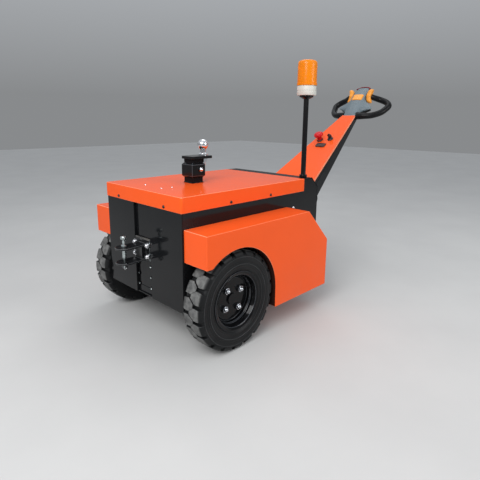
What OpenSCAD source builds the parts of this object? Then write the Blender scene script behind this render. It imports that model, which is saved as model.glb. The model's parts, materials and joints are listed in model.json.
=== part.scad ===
// Walk-behind electric tow tug: two lugged drive wheels at the hitch end,
// a steel body with a screwed-on lid, a swivel caster at the back and a tilting tiller.
// +X runs from the hitch to the tiller, +Y to the vehicle's left, Z up from the ground.

/* [Body] */
// Length of the body from the front panels to the rear cover
body_l = 881; // [820:1:960]
// Width of the body over its side panels
body_w = 542; // [500:1:600]
// Depth of the body's underside below the wheel axle
floor_drop = 37.5; // [36.5:0.5:60]
// Height of the lid's top and of the deck above the ground
deck_z = 633; // [610:1:680]
// Thickness of the body's sheet panels
panel_t = 5; // [4:0.5:6]
// Length of the level deck strip behind the lid
deck_l = 66; // [56:1:90]
// Length of the sloping edge between the deck and the rear cover
chamfer_l = 53; // [40:1:70]
// Depth of the sloping edge below the deck
chamfer_h = 48; // [35:1:60]
// Distance from the front to the step up to the floor over the caster
floor_step_x = 600; // [585:1:610]

/* [Lid] */
// Depth of the lid's turned-down flange
lid_flange = 61; // [40:1:80]
// Thickness of the lid's sheet
lid_t = 4; // [3:0.5:6]
// Radius of the lid's upright corners
lid_r = 9; // [6:1:20]

/* [Front recess] */
// Width of the recess between the front panels
recess_w = 114; // [110:1:130]
// Depth of the recess behind the front panels
recess_d = 11; // [11:0.5:16]
// Thickness of the mast plate at the back of the recess
mast_t = 10; // [8:0.5:14]
// Distance between the two hole columns
hole_col = 90; // [80:1:94]
// Distance from one hole row to the next
hole_pitch = 48; // [40:1:50]
// Height of the lowest hole row
hole_z = 210; // [195:1:220]
// Diameter of the coupling holes
hole_d = 16; // [12:0.5:18]

/* [Coupling] */
// Height of the coupling plate
coupling_h = 94; // [80:1:110]
// Half the width of the jaw plates, also the radius of their tips
jaw_r = 36; // [32:1:42]
// Distance from the front panels to the pin's axis
pin_reach = 87; // [75:1:110]
// Thickness of each jaw plate
jaw_t = 7; // [5:0.5:9]
// Height of the mouth between the jaw plates
mouth_h = 56; // [48:1:60]
// Diameter of the drop pin
pin_d = 16; // [14:0.5:20]
// Diameter of the drop pin's lower end
pin_tip_d = 10; // [8:0.5:12]
// Clearance round the drop pin in the jaw plates
pin_gap = 0.5; // [0.3:0.1:1]

/* [Drive wheels] */
// Diameter of the tyre over its lugs
tyre_d = 415; // [400:1:430]
// Width of the tyre
tyre_w = 107; // [95:1:112]
// Gap between the body's sides and the tyres
wheel_gap = 18.5; // [15:0.5:24]
// Number of lugs in each of a tyre's two rows
lug_count = 20; // [16:1:22]
// Height of the lugs above the tyre's casing
lug_h = 11; // [6:0.5:13]
// Width of a lug along the tread
lug_w = 51; // [36:1:54]
// Distance from the front panels to the wheel axle
axle_x = 182; // [175:1:200]
// Diameter of the rim over its flanges
rim_d = 248; // [230:1:260]
// Depth of the rim's dish behind its outer flange
dish_d = 40; // [30:1:45]
// Diameter of the circle that the wheel nuts lie on
nut_circle = 106; // [98:1:112]
// Angle that the wheel nuts are turned past the corners of a square
nut_turn = 8; // [0:1:20]
// Diameter of the axle tube
axle_d = 62; // [50:1:64]

/* [Fenders] */
// Width of each fender
fender_w = 131; // [125:1:150]
// Height of the fender's top
fender_top = 509; // [480:1:530]
// Height of the fender's lower edge behind the wheel
fender_low = 115; // [90:1:140]
// Height of the fender's front edge
fender_front_z = 381; // [340:1:400]
// Distance from the front panels to the fender's rear end
fender_end = 789; // [740:1:820]
// Gap between the tyre and the wheel arch
arch_gap = 15.5; // [13:0.5:25]
// Length of the sloping edge at the fender's rear end
fender_slope = 161; // [120:1:200]
// Thickness of the fender's sheet
fender_t = 3; // [2:0.5:5]

/* [Tow post] */
// Distance from the front panels to the tow post
post_x = 282; // [250:1:320]
// Width of the square tow post
post_w = 60; // [50:1:62]
// Width of the square sleeve over the post
sleeve_w = 76; // [72:1:84]
// Height of the sleeve
sleeve_h = 69; // [60:1:80]
// Diameter of the tow ball
ball_d = 50; // [50:0.5:55]
// Height of the ball's centre above the ground
ball_z = 801; // [796:1:820]
// Distance from the post to the ball
ball_offset = 57; // [55:1:62]
// Thickness of the ball plate
ball_plate_t = 12; // [10:0.5:16]

/* [Beacon] */
// Distance from the beacon pole back to the deck's rear edge
pole_back = 25; // [22:1:32]
// Distance from the beacon pole out to the body's side
pole_side = 39; // [30:1:70]
// Diameter of the beacon pole
pole_d = 25; // [20:1:30]
// Height of the pole's top above the ground
pole_top = 1015; // [900:1:1100]
// Diameter of the beacon's base
beacon_d = 94; // [85:1:100]
// Height of the beacon's lens
lens_h = 118; // [100:1:130]

/* [Caster] */
// Diameter of the caster wheel
caster_d = 200; // [180:1:204]
// Width of the caster wheel
caster_w = 50; // [40:1:56]
// Distance from the swivel axis back to the wheel axle
caster_trail = 50; // [40:1:52]
// Gap between the floor's step and the swinging caster wheel
caster_gap = 15; // [12:1:25]
// Height of the raised floor above the caster wheel
fork_room = 50; // [46:1:60]

/* [Tiller] */
// Distance from the rear cover to the tiller's pivot
pivot_reach = 104; // [100:1:120]
// Height of the tiller's pivot
pivot_z = 490; // [480:1:500]
// Angle of the tiller above the level at rest
tiller_deg = 31.8; // [25:0.1:40]
// Length of the tiller arm from its pivot
arm_l = 808; // [760:1:840]
// Half the width of the arm at its pivot
arm_base = 157; // [150:1:165]
// Half the width of the arm at its head
arm_tip = 38; // [36:1:42]
// Height of the arm's top above the pivot line
arm_top = 58; // [54:1:62]
// Thickness of the arm's sheet
arm_t = 4; // [3:0.5:6]
// Thickness of the arm's cover
cover_t = 3; // [2:0.5:4]
// Depth of the cover's turned-down edges
cover_lip = 9; // [6:0.5:12]
// Diameter of the tiller's pivot shaft
pivot_d = 25; // [20:0.5:30]

/* [Control head] */
// Angle of the head above the arm
head_deg = 17.4; // [12:0.1:20]
// Length of the console up the head
head_l = 254; // [240:1:270]
// Half the width of the console at its shoulders
shoulder_w = 118; // [100:1:124]
// Half the width of the console at its waist
waist_w = 47; // [42:1:52]
// Half the width of the console at its nose
nose_w = 44; // [40:1:46]
// Height of the console's crown
crown_n = 33; // [28:1:38]
// Distance from the middle plane to the outside of each hand loop
loop_reach = 215; // [205:1:230]
// Diameter of the hand loops' tube
loop_d = 38; // [32:1:40]
// Width of each throttle knob
knob_w = 28; // [24:1:32]
// Length of each throttle knob
knob_l = 94; // [84:1:100]

/* [Hidden] */
$fn = 64;

// Gap left between pieces that are bolted or set together
seat = 0.3;
// Small overlap that lets one cut run past another
cut = 1;

// Colours
orange = [0.93, 0.30, 0.10];
black = [0.05, 0.05, 0.055];
rubber = [0.12, 0.12, 0.12];
steel = [0.78, 0.78, 0.80];
zinc = [0.74, 0.70, 0.60];
grey = [0.42, 0.45, 0.49];
yellow = [0.98, 0.75, 0.25];
red = [0.75, 0.05, 0.08];
white = [0.86, 0.84, 0.80];
amber = [1.0, 0.55, 0.05];

// Wheels
axle_z = tyre_d / 2;
wheel_y = body_w / 2 + wheel_gap + tyre_w / 2;
rim_half = 48;
hub_face = wheel_y + rim_half - dish_d - 6;
arch_x = axle_x - 4;
arch_r = tyre_d / 2 + arch_gap;

// Body
half_w = body_w / 2;
body_z = axle_z - floor_drop;
rear_x = body_l;
pivot_x = rear_x + pivot_reach;
under_lid = deck_z - lid_t - seat;
lid_front = -lid_t - seat;
chamfer_x = body_l - chamfer_l;
chamfer_z = deck_z - chamfer_h;
lid_end = chamfer_x - deck_l;
lid_l = lid_end - lid_front;
mast_x = recess_d;
mast_back = mast_x + mast_t;
inner_w = body_w - 2 * panel_t;
rear_floor_z = caster_d + fork_room;
caster_x = floor_step_x + caster_gap + caster_trail + caster_d / 2;
pole_x = chamfer_x - pole_back;
pole_y = half_w - pole_side;

// Coupling
coupling_t = 10;
coupling_mid = hole_z + 3.5 * hole_pitch;
jaw_mid = coupling_mid - 9;
plate_x = mast_x - seat - coupling_t;

// Back end of the arm behind its pivot, and the ears that stand clear of its cover
arm_back = -44;
ear_gap = 5.5;
ear_y = arm_half(arm_back) + seat + cover_t + ear_gap;

// Start of the head, in the arm's own frame
head_s = arm_l - 13;
head_t = arm_top - 19;
cover_end = arm_l - 36;

// Reach of the whole vehicle before and behind the front panels, for the origin
jaw_tip = -pin_reach - jaw_r;
nose_drop = 32;
head_tip_s = head_s + head_l * cos(head_deg) + nose_drop * sin(head_deg);
head_tip_t = head_t + head_l * sin(head_deg) - nose_drop * cos(head_deg);
tip_x = pivot_x + head_tip_s * cos(tiller_deg) - head_tip_t * sin(tiller_deg);
mid_x = (jaw_tip + tip_x) / 2;

// The part's origin is on the ground under the middle of its length
module vehicle() { translate([-mid_x, 0, 0]) children(); }
module both_sides() { children(); mirror([0, 1, 0]) children(); }

// A cylinder along X or along Y that starts at the origin
module rod_x(d, l) { rotate([0, 90, 0]) cylinder(h = l, d = d); }
module rod_y(d, l) { rotate([-90, 0, 0]) cylinder(h = l, d = d); }

// A flat piece drawn in X and Z, with its thickness along Y from y0 to y1
module side_plate(y0, y1) {
    translate([0, y1, 0]) rotate([90, 0, 0]) linear_extrude(y1 - y0) children();
}

// A rectangle with round corners, centred on the origin
module round_rect(l, w, r) {
    square([l - 2 * r, w], center = true);
    square([l, w - 2 * r], center = true);
    for (sx = [-1, 1], sy = [-1, 1]) translate([sx * (l / 2 - r), sy * (w / 2 - r)]) circle(r = r);
}

// A dome nut on its seat, with the dome pointing up
module dome_nut(across, h) {
    flat_h = h * 0.5;
    cylinder(h = flat_h, d = across / cos(30), $fn = 6);
    translate([0, 0, flat_h]) cylinder(h = h * 0.1, d = across * 0.92);
    translate([0, 0, h * 0.55]) intersection() {
        sphere(d = across * 0.86, $fn = 32);
        cylinder(h = across * 0.86, d = across * 0.86, $fn = 32);
    }
}

// Body panels

module front_panels() {
    color(black) vehicle() both_sides() {
        translate([0, recess_w / 2, body_z])
            cube([panel_t, half_w - recess_w / 2, under_lid - body_z]);
        translate([0, recess_w / 2, body_z + panel_t + seat])
            cube([mast_back, panel_t, under_lid - body_z - panel_t - seat]);
    }
}

module mast_plate() {
    w = recess_w - 2 * seat;
    color(black) vehicle() difference() {
        translate([mast_x, -w / 2, body_z + panel_t + seat])
            cube([mast_t, w, under_lid - body_z - panel_t - seat]);
        for (row = [0:4], side = [-1, 1])
            translate([0, side * hole_col / 2, hole_z + row * hole_pitch]) rod_x(hole_d, mast_back + cut);
    }
}

// Start and length of the slanted corner at the side panels' lower rear end
corner_cut = 80;

module side_outline() {
    polygon([
        [panel_t + seat, body_z], [floor_step_x + corner_cut, body_z],
        [floor_step_x + 2 * corner_cut, rear_floor_z], [rear_x - panel_t - seat, rear_floor_z],
        [rear_x - panel_t - seat, chamfer_z - 0.4 * panel_t - seat],
        [chamfer_x - 0.4 * panel_t - seat, deck_z - panel_t - seat],
        [lid_end, deck_z - panel_t - seat], [lid_end, under_lid], [panel_t + seat, under_lid]
    ]);
}

module side_panels() {
    color(black) vehicle() both_sides() difference() {
        side_plate(half_w - panel_t, half_w) side_outline();
        translate([axle_x, half_w - panel_t - cut, axle_z]) rod_y(axle_d + 2 * seat, panel_t + 2 * cut);
    }
}

module rear_cover() {
    t = panel_t;
    color(black) vehicle() side_plate(-half_w, half_w) polygon([
        [rear_x, rear_floor_z], [rear_x, chamfer_z], [chamfer_x, deck_z], [lid_end + seat, deck_z],
        [lid_end + seat, deck_z - t], [chamfer_x - t * 0.4, deck_z - t],
        [rear_x - t, chamfer_z - t * 0.4], [rear_x - t, rear_floor_z]
    ]);
}

module floor_pan() {
    t = panel_t;
    w = inner_w / 2 - seat;
    color(black) vehicle() side_plate(-w, w) polygon([
        [t + seat, body_z], [floor_step_x, body_z], [floor_step_x, rear_floor_z - t],
        [rear_x - t - seat, rear_floor_z - t], [rear_x - t - seat, rear_floor_z],
        [floor_step_x - t, rear_floor_z], [floor_step_x - t, body_z + t], [t + seat, body_z + t]
    ]);
}

module lid() {
    w = body_w + 2 * (lid_t + seat);
    color(orange) vehicle() translate([lid_front, 0, deck_z - lid_flange]) difference() {
        translate([lid_l / 2, 0, 0]) linear_extrude(lid_flange) round_rect(lid_l, w, lid_r);
        translate([lid_t, -w / 2 + lid_t, -cut]) cube([lid_l, w - 2 * lid_t, lid_flange - lid_t + cut]);
    }
}

// Fenders

// Outline of the fender's outer face, with its sheet thickness taken off when inner is 1
module fender_outline(inner) {
    d = inner * fender_t;
    front = 8;
    difference() {
        polygon([
            [front + d, fender_front_z + d], [front + d, fender_top - d],
            [fender_end - fender_slope - d * 0.4, fender_top - d],
            [fender_end - d, fender_top - fender_slope - d * 0.4],
            [fender_end - d, fender_low + d], [arch_x + arch_r + d, fender_low + d],
            [arch_x + arch_r + d, axle_z], [arch_x, axle_z], [arch_x, fender_front_z + d]
        ]);
        translate([arch_x, axle_z]) circle(r = arch_r + d, $fn = 128);
    }
}

module fender() {
    y0 = half_w + seat;
    color(orange) vehicle() difference() {
        side_plate(y0, y0 + fender_w) fender_outline(0);
        side_plate(y0 - cut, y0 + fender_w - fender_t) fender_outline(1);
    }
}

module fender_left() { fender(); }
module fender_right() { mirror([0, 1, 0]) fender(); }

// Heavy blocks inside the body

module batteries() {
    gap = 20;
    l = 290;
    w = 180;
    h = 225;
    x = floor_step_x - panel_t - 10 - l;
    color(grey) vehicle() both_sides() translate([x, gap / 2, body_z + panel_t + seat]) cube([l, w, h]);
}

module drive_unit() {
    block_l = 150;
    block_w = 220;
    block_h = 140;
    reach = half_w + 28;
    color(black) vehicle() difference() {
        union() {
            translate([axle_x - block_l / 2, -block_w / 2, body_z + panel_t + seat])
                cube([block_l, block_w, block_h]);
            translate([axle_x, -reach, axle_z]) rod_y(axle_d, 2 * reach);
        }
        both_sides() translate([axle_x, block_w / 2, axle_z]) rod_y(stub_d + 1, reach);
    }
}

// Coupling at the front

module coupling_plate() {
    w = recess_w - 4;
    difference() {
        translate([plate_x, -w / 2, coupling_mid - coupling_h / 2]) cube([coupling_t, w, coupling_h]);
        for (row = [-1, 1], side = [-1, 1])
            translate([plate_x - cut, side * hole_col / 2, coupling_mid + row * hole_pitch / 2])
                rod_x(hole_d, coupling_t + 2 * cut);
    }
}

// Half the width of the jaw plates where they meet the coupling plate, and the web's size between them
jaw_root = 29;
web_l = 21;
web_w = 44;

module jaw_plate(bore) {
    linear_extrude(jaw_t) difference() {
        union() {
            translate([-pin_reach, 0]) circle(r = jaw_r);
            polygon([
                [-pin_reach, -jaw_r], [plate_x + cut, -jaw_root], [plate_x + cut, jaw_root], [-pin_reach, jaw_r]
            ]);
        }
        translate([-pin_reach, 0]) circle(d = bore + 2 * pin_gap);
    }
}

module coupling_jaw() {
    low = jaw_mid - mouth_h / 2;
    web_h = mouth_h + 2 * cut;
    color(black) vehicle() {
        coupling_plate();
        translate([0, 0, jaw_mid + mouth_h / 2]) jaw_plate(pin_d);
        translate([0, 0, low - jaw_t]) jaw_plate(pin_tip_d);
        translate([0, 0, low - cut]) difference() {
            translate([plate_x - web_l, -web_w / 2, 0]) cube([web_l + cut, web_w, web_h]);
            translate([-pin_reach, 0, -cut]) cylinder(h = web_h + 2 * cut, r = pin_reach + plate_x - web_l + 4);
        }
    }
}

module coupling_bolts() {
    shank = hole_d - 2 * seat;
    color(steel) vehicle() for (row = [-1, 1], side = [-1, 1])
        translate([0, side * hole_col / 2, coupling_mid + row * hole_pitch / 2]) {
            translate([plate_x - seat, 0, 0]) rotate([0, -90, 0]) dome_nut(22, 18);
            translate([plate_x - seat, 0, 0]) rod_x(shank, mast_back + 8 - plate_x + seat);
        }
}

pin_foot = jaw_mid - mouth_h / 2 - jaw_t - 22;
taper_z = jaw_mid - mouth_h / 2 + 2;
collar_z = jaw_mid + mouth_h / 2 + jaw_t + seat;

module drop_pin() {
    color(zinc) vehicle() translate([-pin_reach, 0, 0]) difference() {
        rotate_extrude() polygon([
            [0, pin_foot], [pin_tip_d / 2 - 2, pin_foot], [pin_tip_d / 2, pin_foot + 3],
            [pin_tip_d / 2, taper_z],
            [pin_d / 2, taper_z + 20], [pin_d / 2, collar_z],
            [pin_d * 0.75, collar_z], [pin_d * 0.75, collar_z + 7], [pin_d * 0.6, collar_z + 9],
            [pin_d * 0.38, collar_z + 11], [pin_d * 0.38, collar_z + 29], [pin_d * 0.5, collar_z + 31],
            [pin_d * 0.8, collar_z + 34], [pin_d * 0.8, collar_z + 43], [pin_d * 0.66, collar_z + 46],
            [0, collar_z + 46]
        ]);
        translate([0, -pin_d, clip_z]) rod_y(clip_d + 1, 2 * pin_d);
    }
}

clip_d = 4;
clip_z = pin_foot + 12;

module pin_clip() {
    reach = pin_tip_d / 2 + 13;
    color(steel) vehicle() translate([-pin_reach, 0, clip_z]) {
        translate([0, -reach, 0]) rod_y(clip_d, 2 * reach);
        rotate([0, 90, 0]) intersection() {
            rotate_extrude() translate([reach, 0]) circle(d = clip_d, $fn = 24);
            translate([0, -2 * reach, -clip_d]) cube([2 * reach, 4 * reach, 2 * clip_d]);
        }
    }
}

// Tow post and ball on the lid

module tow_post() {
    inner = post_w - 10;
    h = sleeve_z + sleeve_h - 12 - deck_z - seat;
    color(black) vehicle() translate([post_x, 0, deck_z + seat]) difference() {
        translate([-post_w / 2, -post_w / 2, 0]) cube([post_w, post_w, h]);
        translate([-inner / 2, -inner / 2, 8]) cube([inner, inner, h]);
    }
}

sleeve_z = deck_z + 23;

// Side view of the sleeve with its chamfered ends
module sleeve_outline() {
    c = 9;
    w = sleeve_w / 2;
    polygon([
        [-w + c, 0], [w - c, 0], [w, c], [w, sleeve_h - c], [w - c, sleeve_h],
        [-w + c, sleeve_h], [-w, sleeve_h - c], [-w, c]
    ]);
}

module tow_sleeve() {
    hole = post_w + 2 * seat;
    color(black) vehicle() translate([post_x, 0, sleeve_z]) difference() {
        intersection() {
            side_plate(-sleeve_w, sleeve_w) sleeve_outline();
            rotate([0, 0, 90]) side_plate(-sleeve_w, sleeve_w) sleeve_outline();
        }
        translate([-hole / 2, -hole / 2, -cut]) cube([hole, hole, sleeve_h - 8 + cut]);
        translate([8, -sleeve_w, post_bolt_z - sleeve_z]) rod_y(post_bolt_d + 2 * seat, sleeve_w);
    }
}

post_bolt_d = 12;
post_bolt_z = sleeve_z + 38;
plate_top = ball_z - 48;

module ball_plate() {
    l = 124;
    w = 80;
    neck_z = sleeve_z + sleeve_h + seat;
    color(black) vehicle() difference() {
        union() {
            translate([post_x + 22, 0, plate_top - ball_plate_t])
                linear_extrude(ball_plate_t) round_rect(l, w, 12);
            translate([post_x, 0, neck_z]) cylinder(h = plate_top - ball_plate_t - neck_z + cut, d = 52);
        }
        translate([post_x + ball_offset, 0, plate_top - ball_plate_t - cut])
            cylinder(h = ball_plate_t + 2 * cut, d = shank_d + 2 * seat);
    }
}

shank_d = 22;

module tow_ball() {
    base = plate_top + seat;
    below = plate_top - ball_plate_t - seat;
    color(steel) vehicle() translate([post_x + ball_offset, 0, 0]) {
        translate([0, 0, ball_z]) difference() {
            sphere(d = ball_d);
            translate([0, 0, ball_d * 0.47]) cylinder(h = ball_d, d = ball_d);
        }
        rotate_extrude() polygon([
            [0, base], [22, base], [22, base + 6], [19, base + 9], [14, base + 13],
            [13.5, ball_z - ball_d * 0.3], [0, ball_z - ball_d * 0.3]
        ]);
        translate([0, 0, below - 34]) cylinder(h = base + 34 - below + cut, d = shank_d);
        translate([0, 0, below - 17]) cylinder(h = 17, d = 34 / cos(30), $fn = 6);
    }
}

module post_bolt() {
    reach = (sleeve_w - post_w) / 2 - seat;
    color(steel) vehicle() translate([post_x + 8, -sleeve_w / 2 - seat, post_bolt_z]) {
        rotate([90, 0, 0]) dome_nut(19, 14);
        rod_y(post_bolt_d, reach);
    }
}

// Beacon

beacon_z = pole_top + 16;

module beacon_pole() {
    color(black) vehicle() translate([pole_x, -pole_y, deck_z + seat]) {
        cylinder(h = pole_top - deck_z, d = pole_d);
        cylinder(h = 14, d = pole_d + 13);
        translate([0, 0, pole_top - deck_z - seat]) rotate_extrude() polygon([
            [0, 0], [pole_d * 0.7, 0], [beacon_d * 0.36, 9], [beacon_d * 0.36, 16 - seat], [0, 16 - seat]
        ]);
    }
}

base_h = 46;

module beacon_base() {
    r = beacon_d / 2;
    color(white) vehicle() translate([pole_x, -pole_y, beacon_z]) rotate_extrude() polygon([
        [0, 0], [r - 4, 0], [r, 4], [r - 1, base_h - seat], [0, base_h - seat]
    ]);
}

module beacon_lens() {
    r = beacon_d / 2 + 1;
    dome = 22;
    color(amber) vehicle() translate([pole_x, -pole_y, beacon_z + base_h]) rotate_extrude() {
        square([r - 1, lens_h - dome]);
        square([r, 8]);
        square([r - dome, lens_h]);
        translate([r - 1 - dome, lens_h - dome]) intersection() {
            circle(r = dome);
            square(dome);
        }
    }
}

// Drive wheels

stub_d = 40;

module hub() {
    stub_in = half_w - 60;
    color(black) vehicle() translate([axle_x, 0, axle_z]) {
        translate([0, stub_in, 0]) rod_y(stub_d, hub_face - stub_in);
        translate([0, hub_face - 12 - seat, 0]) rod_y(nut_circle + 36, 12);
        translate([0, hub_face - cut, 0]) rod_y(46, 14);
    }
}

// Half section of the pressed rim, from its outer flange to its inner flange
module rim_profile() {
    r = rim_d / 2;
    h = rim_half;
    t = 4;
    step_z = min(h - dish_d + 10, h - 28);
    polygon([
        [r, h], [r, h - t], [r - 14, h - t - 6], [r - 20, h - 26], [r - 20, -h + 26], [r - 14, -h + t + 6],
        [r, -h + t], [r, -h], [r - 6, -h], [r - 17, -h + t], [r - 20 - t, -h + 24],
        [r - 20 - t, h - dish_d - 20],
        [r - 36, h - dish_d - 6], [24, h - dish_d - 6], [24, h - dish_d], [r - 36, h - dish_d],
        [r - 32, h - dish_d - 6], [r - 28, h - dish_d - 6], [r - 28, step_z], [r - 20 - t, step_z + 3],
        [r - 20 - t, h - 24], [r - 18, h - 10], [r - 16, h - t], [r - 6, h]
    ]);
}

module rim() {
    color(black) vehicle() translate([axle_x, wheel_y, axle_z]) difference() {
        rotate([-90, 0, 0]) rotate_extrude($fn = 96) rim_profile();
        for (a = [45:90:315]) rotate([0, a + nut_turn, 0])
            translate([nut_circle / 2, rim_half - dish_d - 10, 0]) rod_y(17, 20);
    }
}

module wheel_nuts() {
    color(steel) vehicle() translate([axle_x, wheel_y + rim_half - dish_d + seat, axle_z])
        for (a = [45:90:315]) rotate([0, a + nut_turn, 0]) translate([nut_circle / 2, 0, 0])
            rotate([-90, 0, 0]) {
                dome_nut(24, 22);
                translate([0, 0, -6]) cylinder(h = 7, d = 16);
            }
}

// Half section of the tyre's casing, with its tread surface at radius r
module tyre_profile(r) {
    w = tyre_w / 2;
    bead = rim_d / 2 + seat;
    h = rim_half;
    polygon([
        [bead - 20, -h + 26.5], [bead - 14, -h + 10.5], [bead, -h + 4.8], [bead + 1, -h + 3], [r * 0.74, -w],
        [r * 0.88, -w + 1], [r * 0.955, -w + 7], [r, -w + 20], [r, w - 20],
        [r * 0.955, w - 7], [r * 0.88, w - 1], [r * 0.74, w], [bead + 1, h - 3],
        [bead, h - 4.8], [bead - 14, h - 10.5], [bead - 20, h - 26.5]
    ]);
}

// One block of the tread, pointing out along X, with its pointed end across the middle of the tread.
// Its plan is a six-sided block, and its side view rounds it over the tyre's shoulder.
module tread_lug() {
    w = tyre_w / 2;
    casing = tyre_d / 2 - lug_h;
    side = lug_w / 2;
    r = sqrt(pow(tyre_d / 2, 2) - pow(side, 2));
    intersection() {
        rotate([90, 0, 90]) linear_extrude(r) polygon([
            [-side * 0.9, w], [side * 0.9, w], [side, w * 0.3], [side * 0.25, -w * 0.16],
            [-side * 0.4, -w * 0.16], [-side, w * 0.22]
        ]);
        rotate([90, 0, 0]) linear_extrude(2 * lug_w, center = true) polygon([
            [casing - 5, -w], [r, -w], [r, w - 17], [r - 4, w - 7], [r - 13, w - 2], [casing * 0.87, w - 2],
            [casing * 0.87, w - 8], [casing - 12, w - 16]
        ]);
    }
}

module tyre() {
    step = 360 / lug_count;
    color(rubber) vehicle() translate([axle_x, wheel_y, axle_z]) rotate([-90, 0, 0]) {
        rotate_extrude($fn = 72) tyre_profile(tyre_d / 2 - lug_h);
        for (i = [0:lug_count - 1]) {
            rotate([0, 0, i * step]) tread_lug();
            rotate([0, 0, (i + 0.5) * step]) mirror([0, 0, 1]) tread_lug();
        }
    }
}

module hub_left() { hub(); }
module rim_left() { rim(); }
module tyre_left() { tyre(); }
module wheel_nuts_left() { wheel_nuts(); }
module hub_right() { mirror([0, 1, 0]) hub(); }
module rim_right() { mirror([0, 1, 0]) rim(); }
module tyre_right() { mirror([0, 1, 0]) tyre(); }
module wheel_nuts_right() { mirror([0, 1, 0]) wheel_nuts(); }

// Swivel caster

caster_top = rear_floor_z - panel_t - seat;
fork_top = caster_top - 24;
kingpin_d = 16;

module caster_plate() {
    color(steel) vehicle() translate([caster_x, 0, caster_top]) {
        translate([0, 0, -8]) linear_extrude(8) round_rect(140, 110, 12);
        translate([0, 0, -18]) cylinder(h = 11, d = 84);
        translate([0, 0, -36]) cylinder(h = 30, d = kingpin_d);
    }
}

module caster_fork() {
    leg_y = caster_w / 2 + 6;
    leg_t = 6;
    wheel_z = caster_d / 2;
    color(steel) vehicle() translate([caster_x, 0, 0]) {
        difference() {
            translate([0, 0, fork_top - 8]) linear_extrude(8) {
                circle(r = leg_y + leg_t + 8);
                translate([0, -leg_y - leg_t]) square([caster_trail + 10, 2 * (leg_y + leg_t)]);
            }
            translate([0, 0, fork_top - 9]) cylinder(h = 10, d = kingpin_d + 1);
        }
        both_sides() side_plate(leg_y, leg_y + leg_t) difference() {
            union() {
                polygon([
                    [-30, fork_top - 8], [caster_trail + 10, fork_top - 8], [caster_trail + 30, wheel_z + 40],
                    [caster_trail + 20, wheel_z], [caster_trail - 20, wheel_z]
                ]);
                translate([caster_trail, wheel_z]) circle(d = 44);
            }
        }
        translate([caster_trail, -leg_y - leg_t - 6, wheel_z]) rod_y(caster_axle_d, 2 * (leg_y + leg_t + 6));
        both_sides() translate([caster_trail, leg_y + leg_t, wheel_z]) rod_y(24 / cos(30), 8, $fn = 6);
    }
}

caster_axle_d = 15;

module caster_wheel() {
    r = caster_d / 2;
    w = caster_w / 2;
    bore = caster_axle_d / 2 + 0.5;
    color(rubber) vehicle() translate([caster_x + caster_trail, 0, r]) rotate([-90, 0, 0])
        rotate_extrude($fn = 96) polygon([
            [bore, -w - 3], [20, -w - 3], [24, -w + 12], [r - 30, -w + 12], [r - 24, -w], [r - 8, -w],
            [r, -w + 10], [r, w - 10], [r - 8, w], [r - 24, w], [r - 30, w - 12], [24, w - 12],
            [20, w + 3], [bore, w + 3]
        ]);
}

// Tiller

ear_t = 12;

module tiller_bracket() {
    plate_t = 8;
    plate_w = 2 * (ear_y + ear_t + plate_t);
    plate_h = 150;
    plate_drop = 80;
    x0 = rear_x + seat;
    ear_r = 32;
    color(black) vehicle() {
        translate([x0, -plate_w / 2, pivot_z - plate_drop]) cube([plate_t, plate_w, plate_h]);
        both_sides() side_plate(ear_y, ear_y + ear_t) difference() {
            union() {
                translate([pivot_x, pivot_z]) circle(r = ear_r);
                polygon([
                    [x0 + 1, pivot_z - plate_drop + 5], [pivot_x, pivot_z - ear_r], [pivot_x, pivot_z + ear_r],
                    [x0 + 1, pivot_z + plate_h - plate_drop - 25]
                ]);
            }
            translate([pivot_x, pivot_z]) circle(d = pivot_d + 2 * seat);
        }
    }
}

module tiller_pivot() {
    reach = ear_y + ear_t + 5;
    color(steel) vehicle() translate([pivot_x, -reach, pivot_z]) rod_y(pivot_d, 2 * reach);
}

// The arm's own frame: s runs along the arm from the pivot, t stands square to it
module arm_frame() { vehicle() translate([pivot_x, 0, pivot_z]) rotate([0, -tiller_deg, 0]) children(); }

// Half the arm's width at a distance along it
function arm_half(s) = arm_base + (arm_tip - arm_base) * s / arm_l;

// Plan of the arm between two distances, grown sideways by d
module arm_plan(s0, s1, d) {
    polygon([
        [s0, -arm_half(s0) - d], [s1, -arm_half(s1) - d], [s1, arm_half(s1) + d], [s0, arm_half(s0) + d]
    ]);
}

// Side view of the arm, with its sheet taken off by d
module arm_side(d) {
    polygon([
        [arm_back + d, -20], [-20, -42 + d], [74, -42 + d], [arm_l - d, 18 + d], [arm_l - d, arm_top - d],
        [arm_back + d, arm_top - d]
    ]);
}

module arm_solid(d) {
    intersection() {
        side_plate(-arm_base * 2, arm_base * 2) arm_side(d);
        translate([0, 0, -arm_base]) linear_extrude(2 * arm_base) arm_plan(arm_back + d, arm_l - d, -d);
    }
}

module tiller_arm() {
    reach = ear_y - seat;
    color(black) arm_frame() difference() {
        union() {
            difference() {
                arm_solid(0);
                arm_solid(arm_t);
            }
            translate([0, -reach, 0]) rod_y(pivot_d + 16, 2 * reach);
        }
        translate([0, -reach - cut, 0]) rod_y(pivot_d + 2 * seat, 2 * (reach + cut));
    }
}

module tiller_cover() {
    top = arm_top + seat + cover_t;
    color(orange) arm_frame() difference() {
        translate([0, 0, arm_top - cover_lip]) linear_extrude(top - arm_top + cover_lip)
            arm_plan(arm_back, cover_end, seat + cover_t);
        translate([0, 0, arm_top - cover_lip - cut]) linear_extrude(cover_lip + seat + cut)
            arm_plan(arm_back - cut, cover_end + cut, seat);
    }
}

// The head's own frame: h runs up the head, n stands square to its face
module head_frame() { arm_frame() translate([head_s, 0, head_t]) rotate([0, -head_deg, 0]) children(); }

// A point of the arm's own frame, as distances up the head and over its face
function on_head(s, t) = [
    (s - head_s) * cos(head_deg) + (t - head_t) * sin(head_deg),
    (t - head_t) * cos(head_deg) - (s - head_s) * sin(head_deg)
];

// Grows an outline by d
module grown(d) {
    if (d > 0) offset(delta = d) children();
    else children();
}

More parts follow.
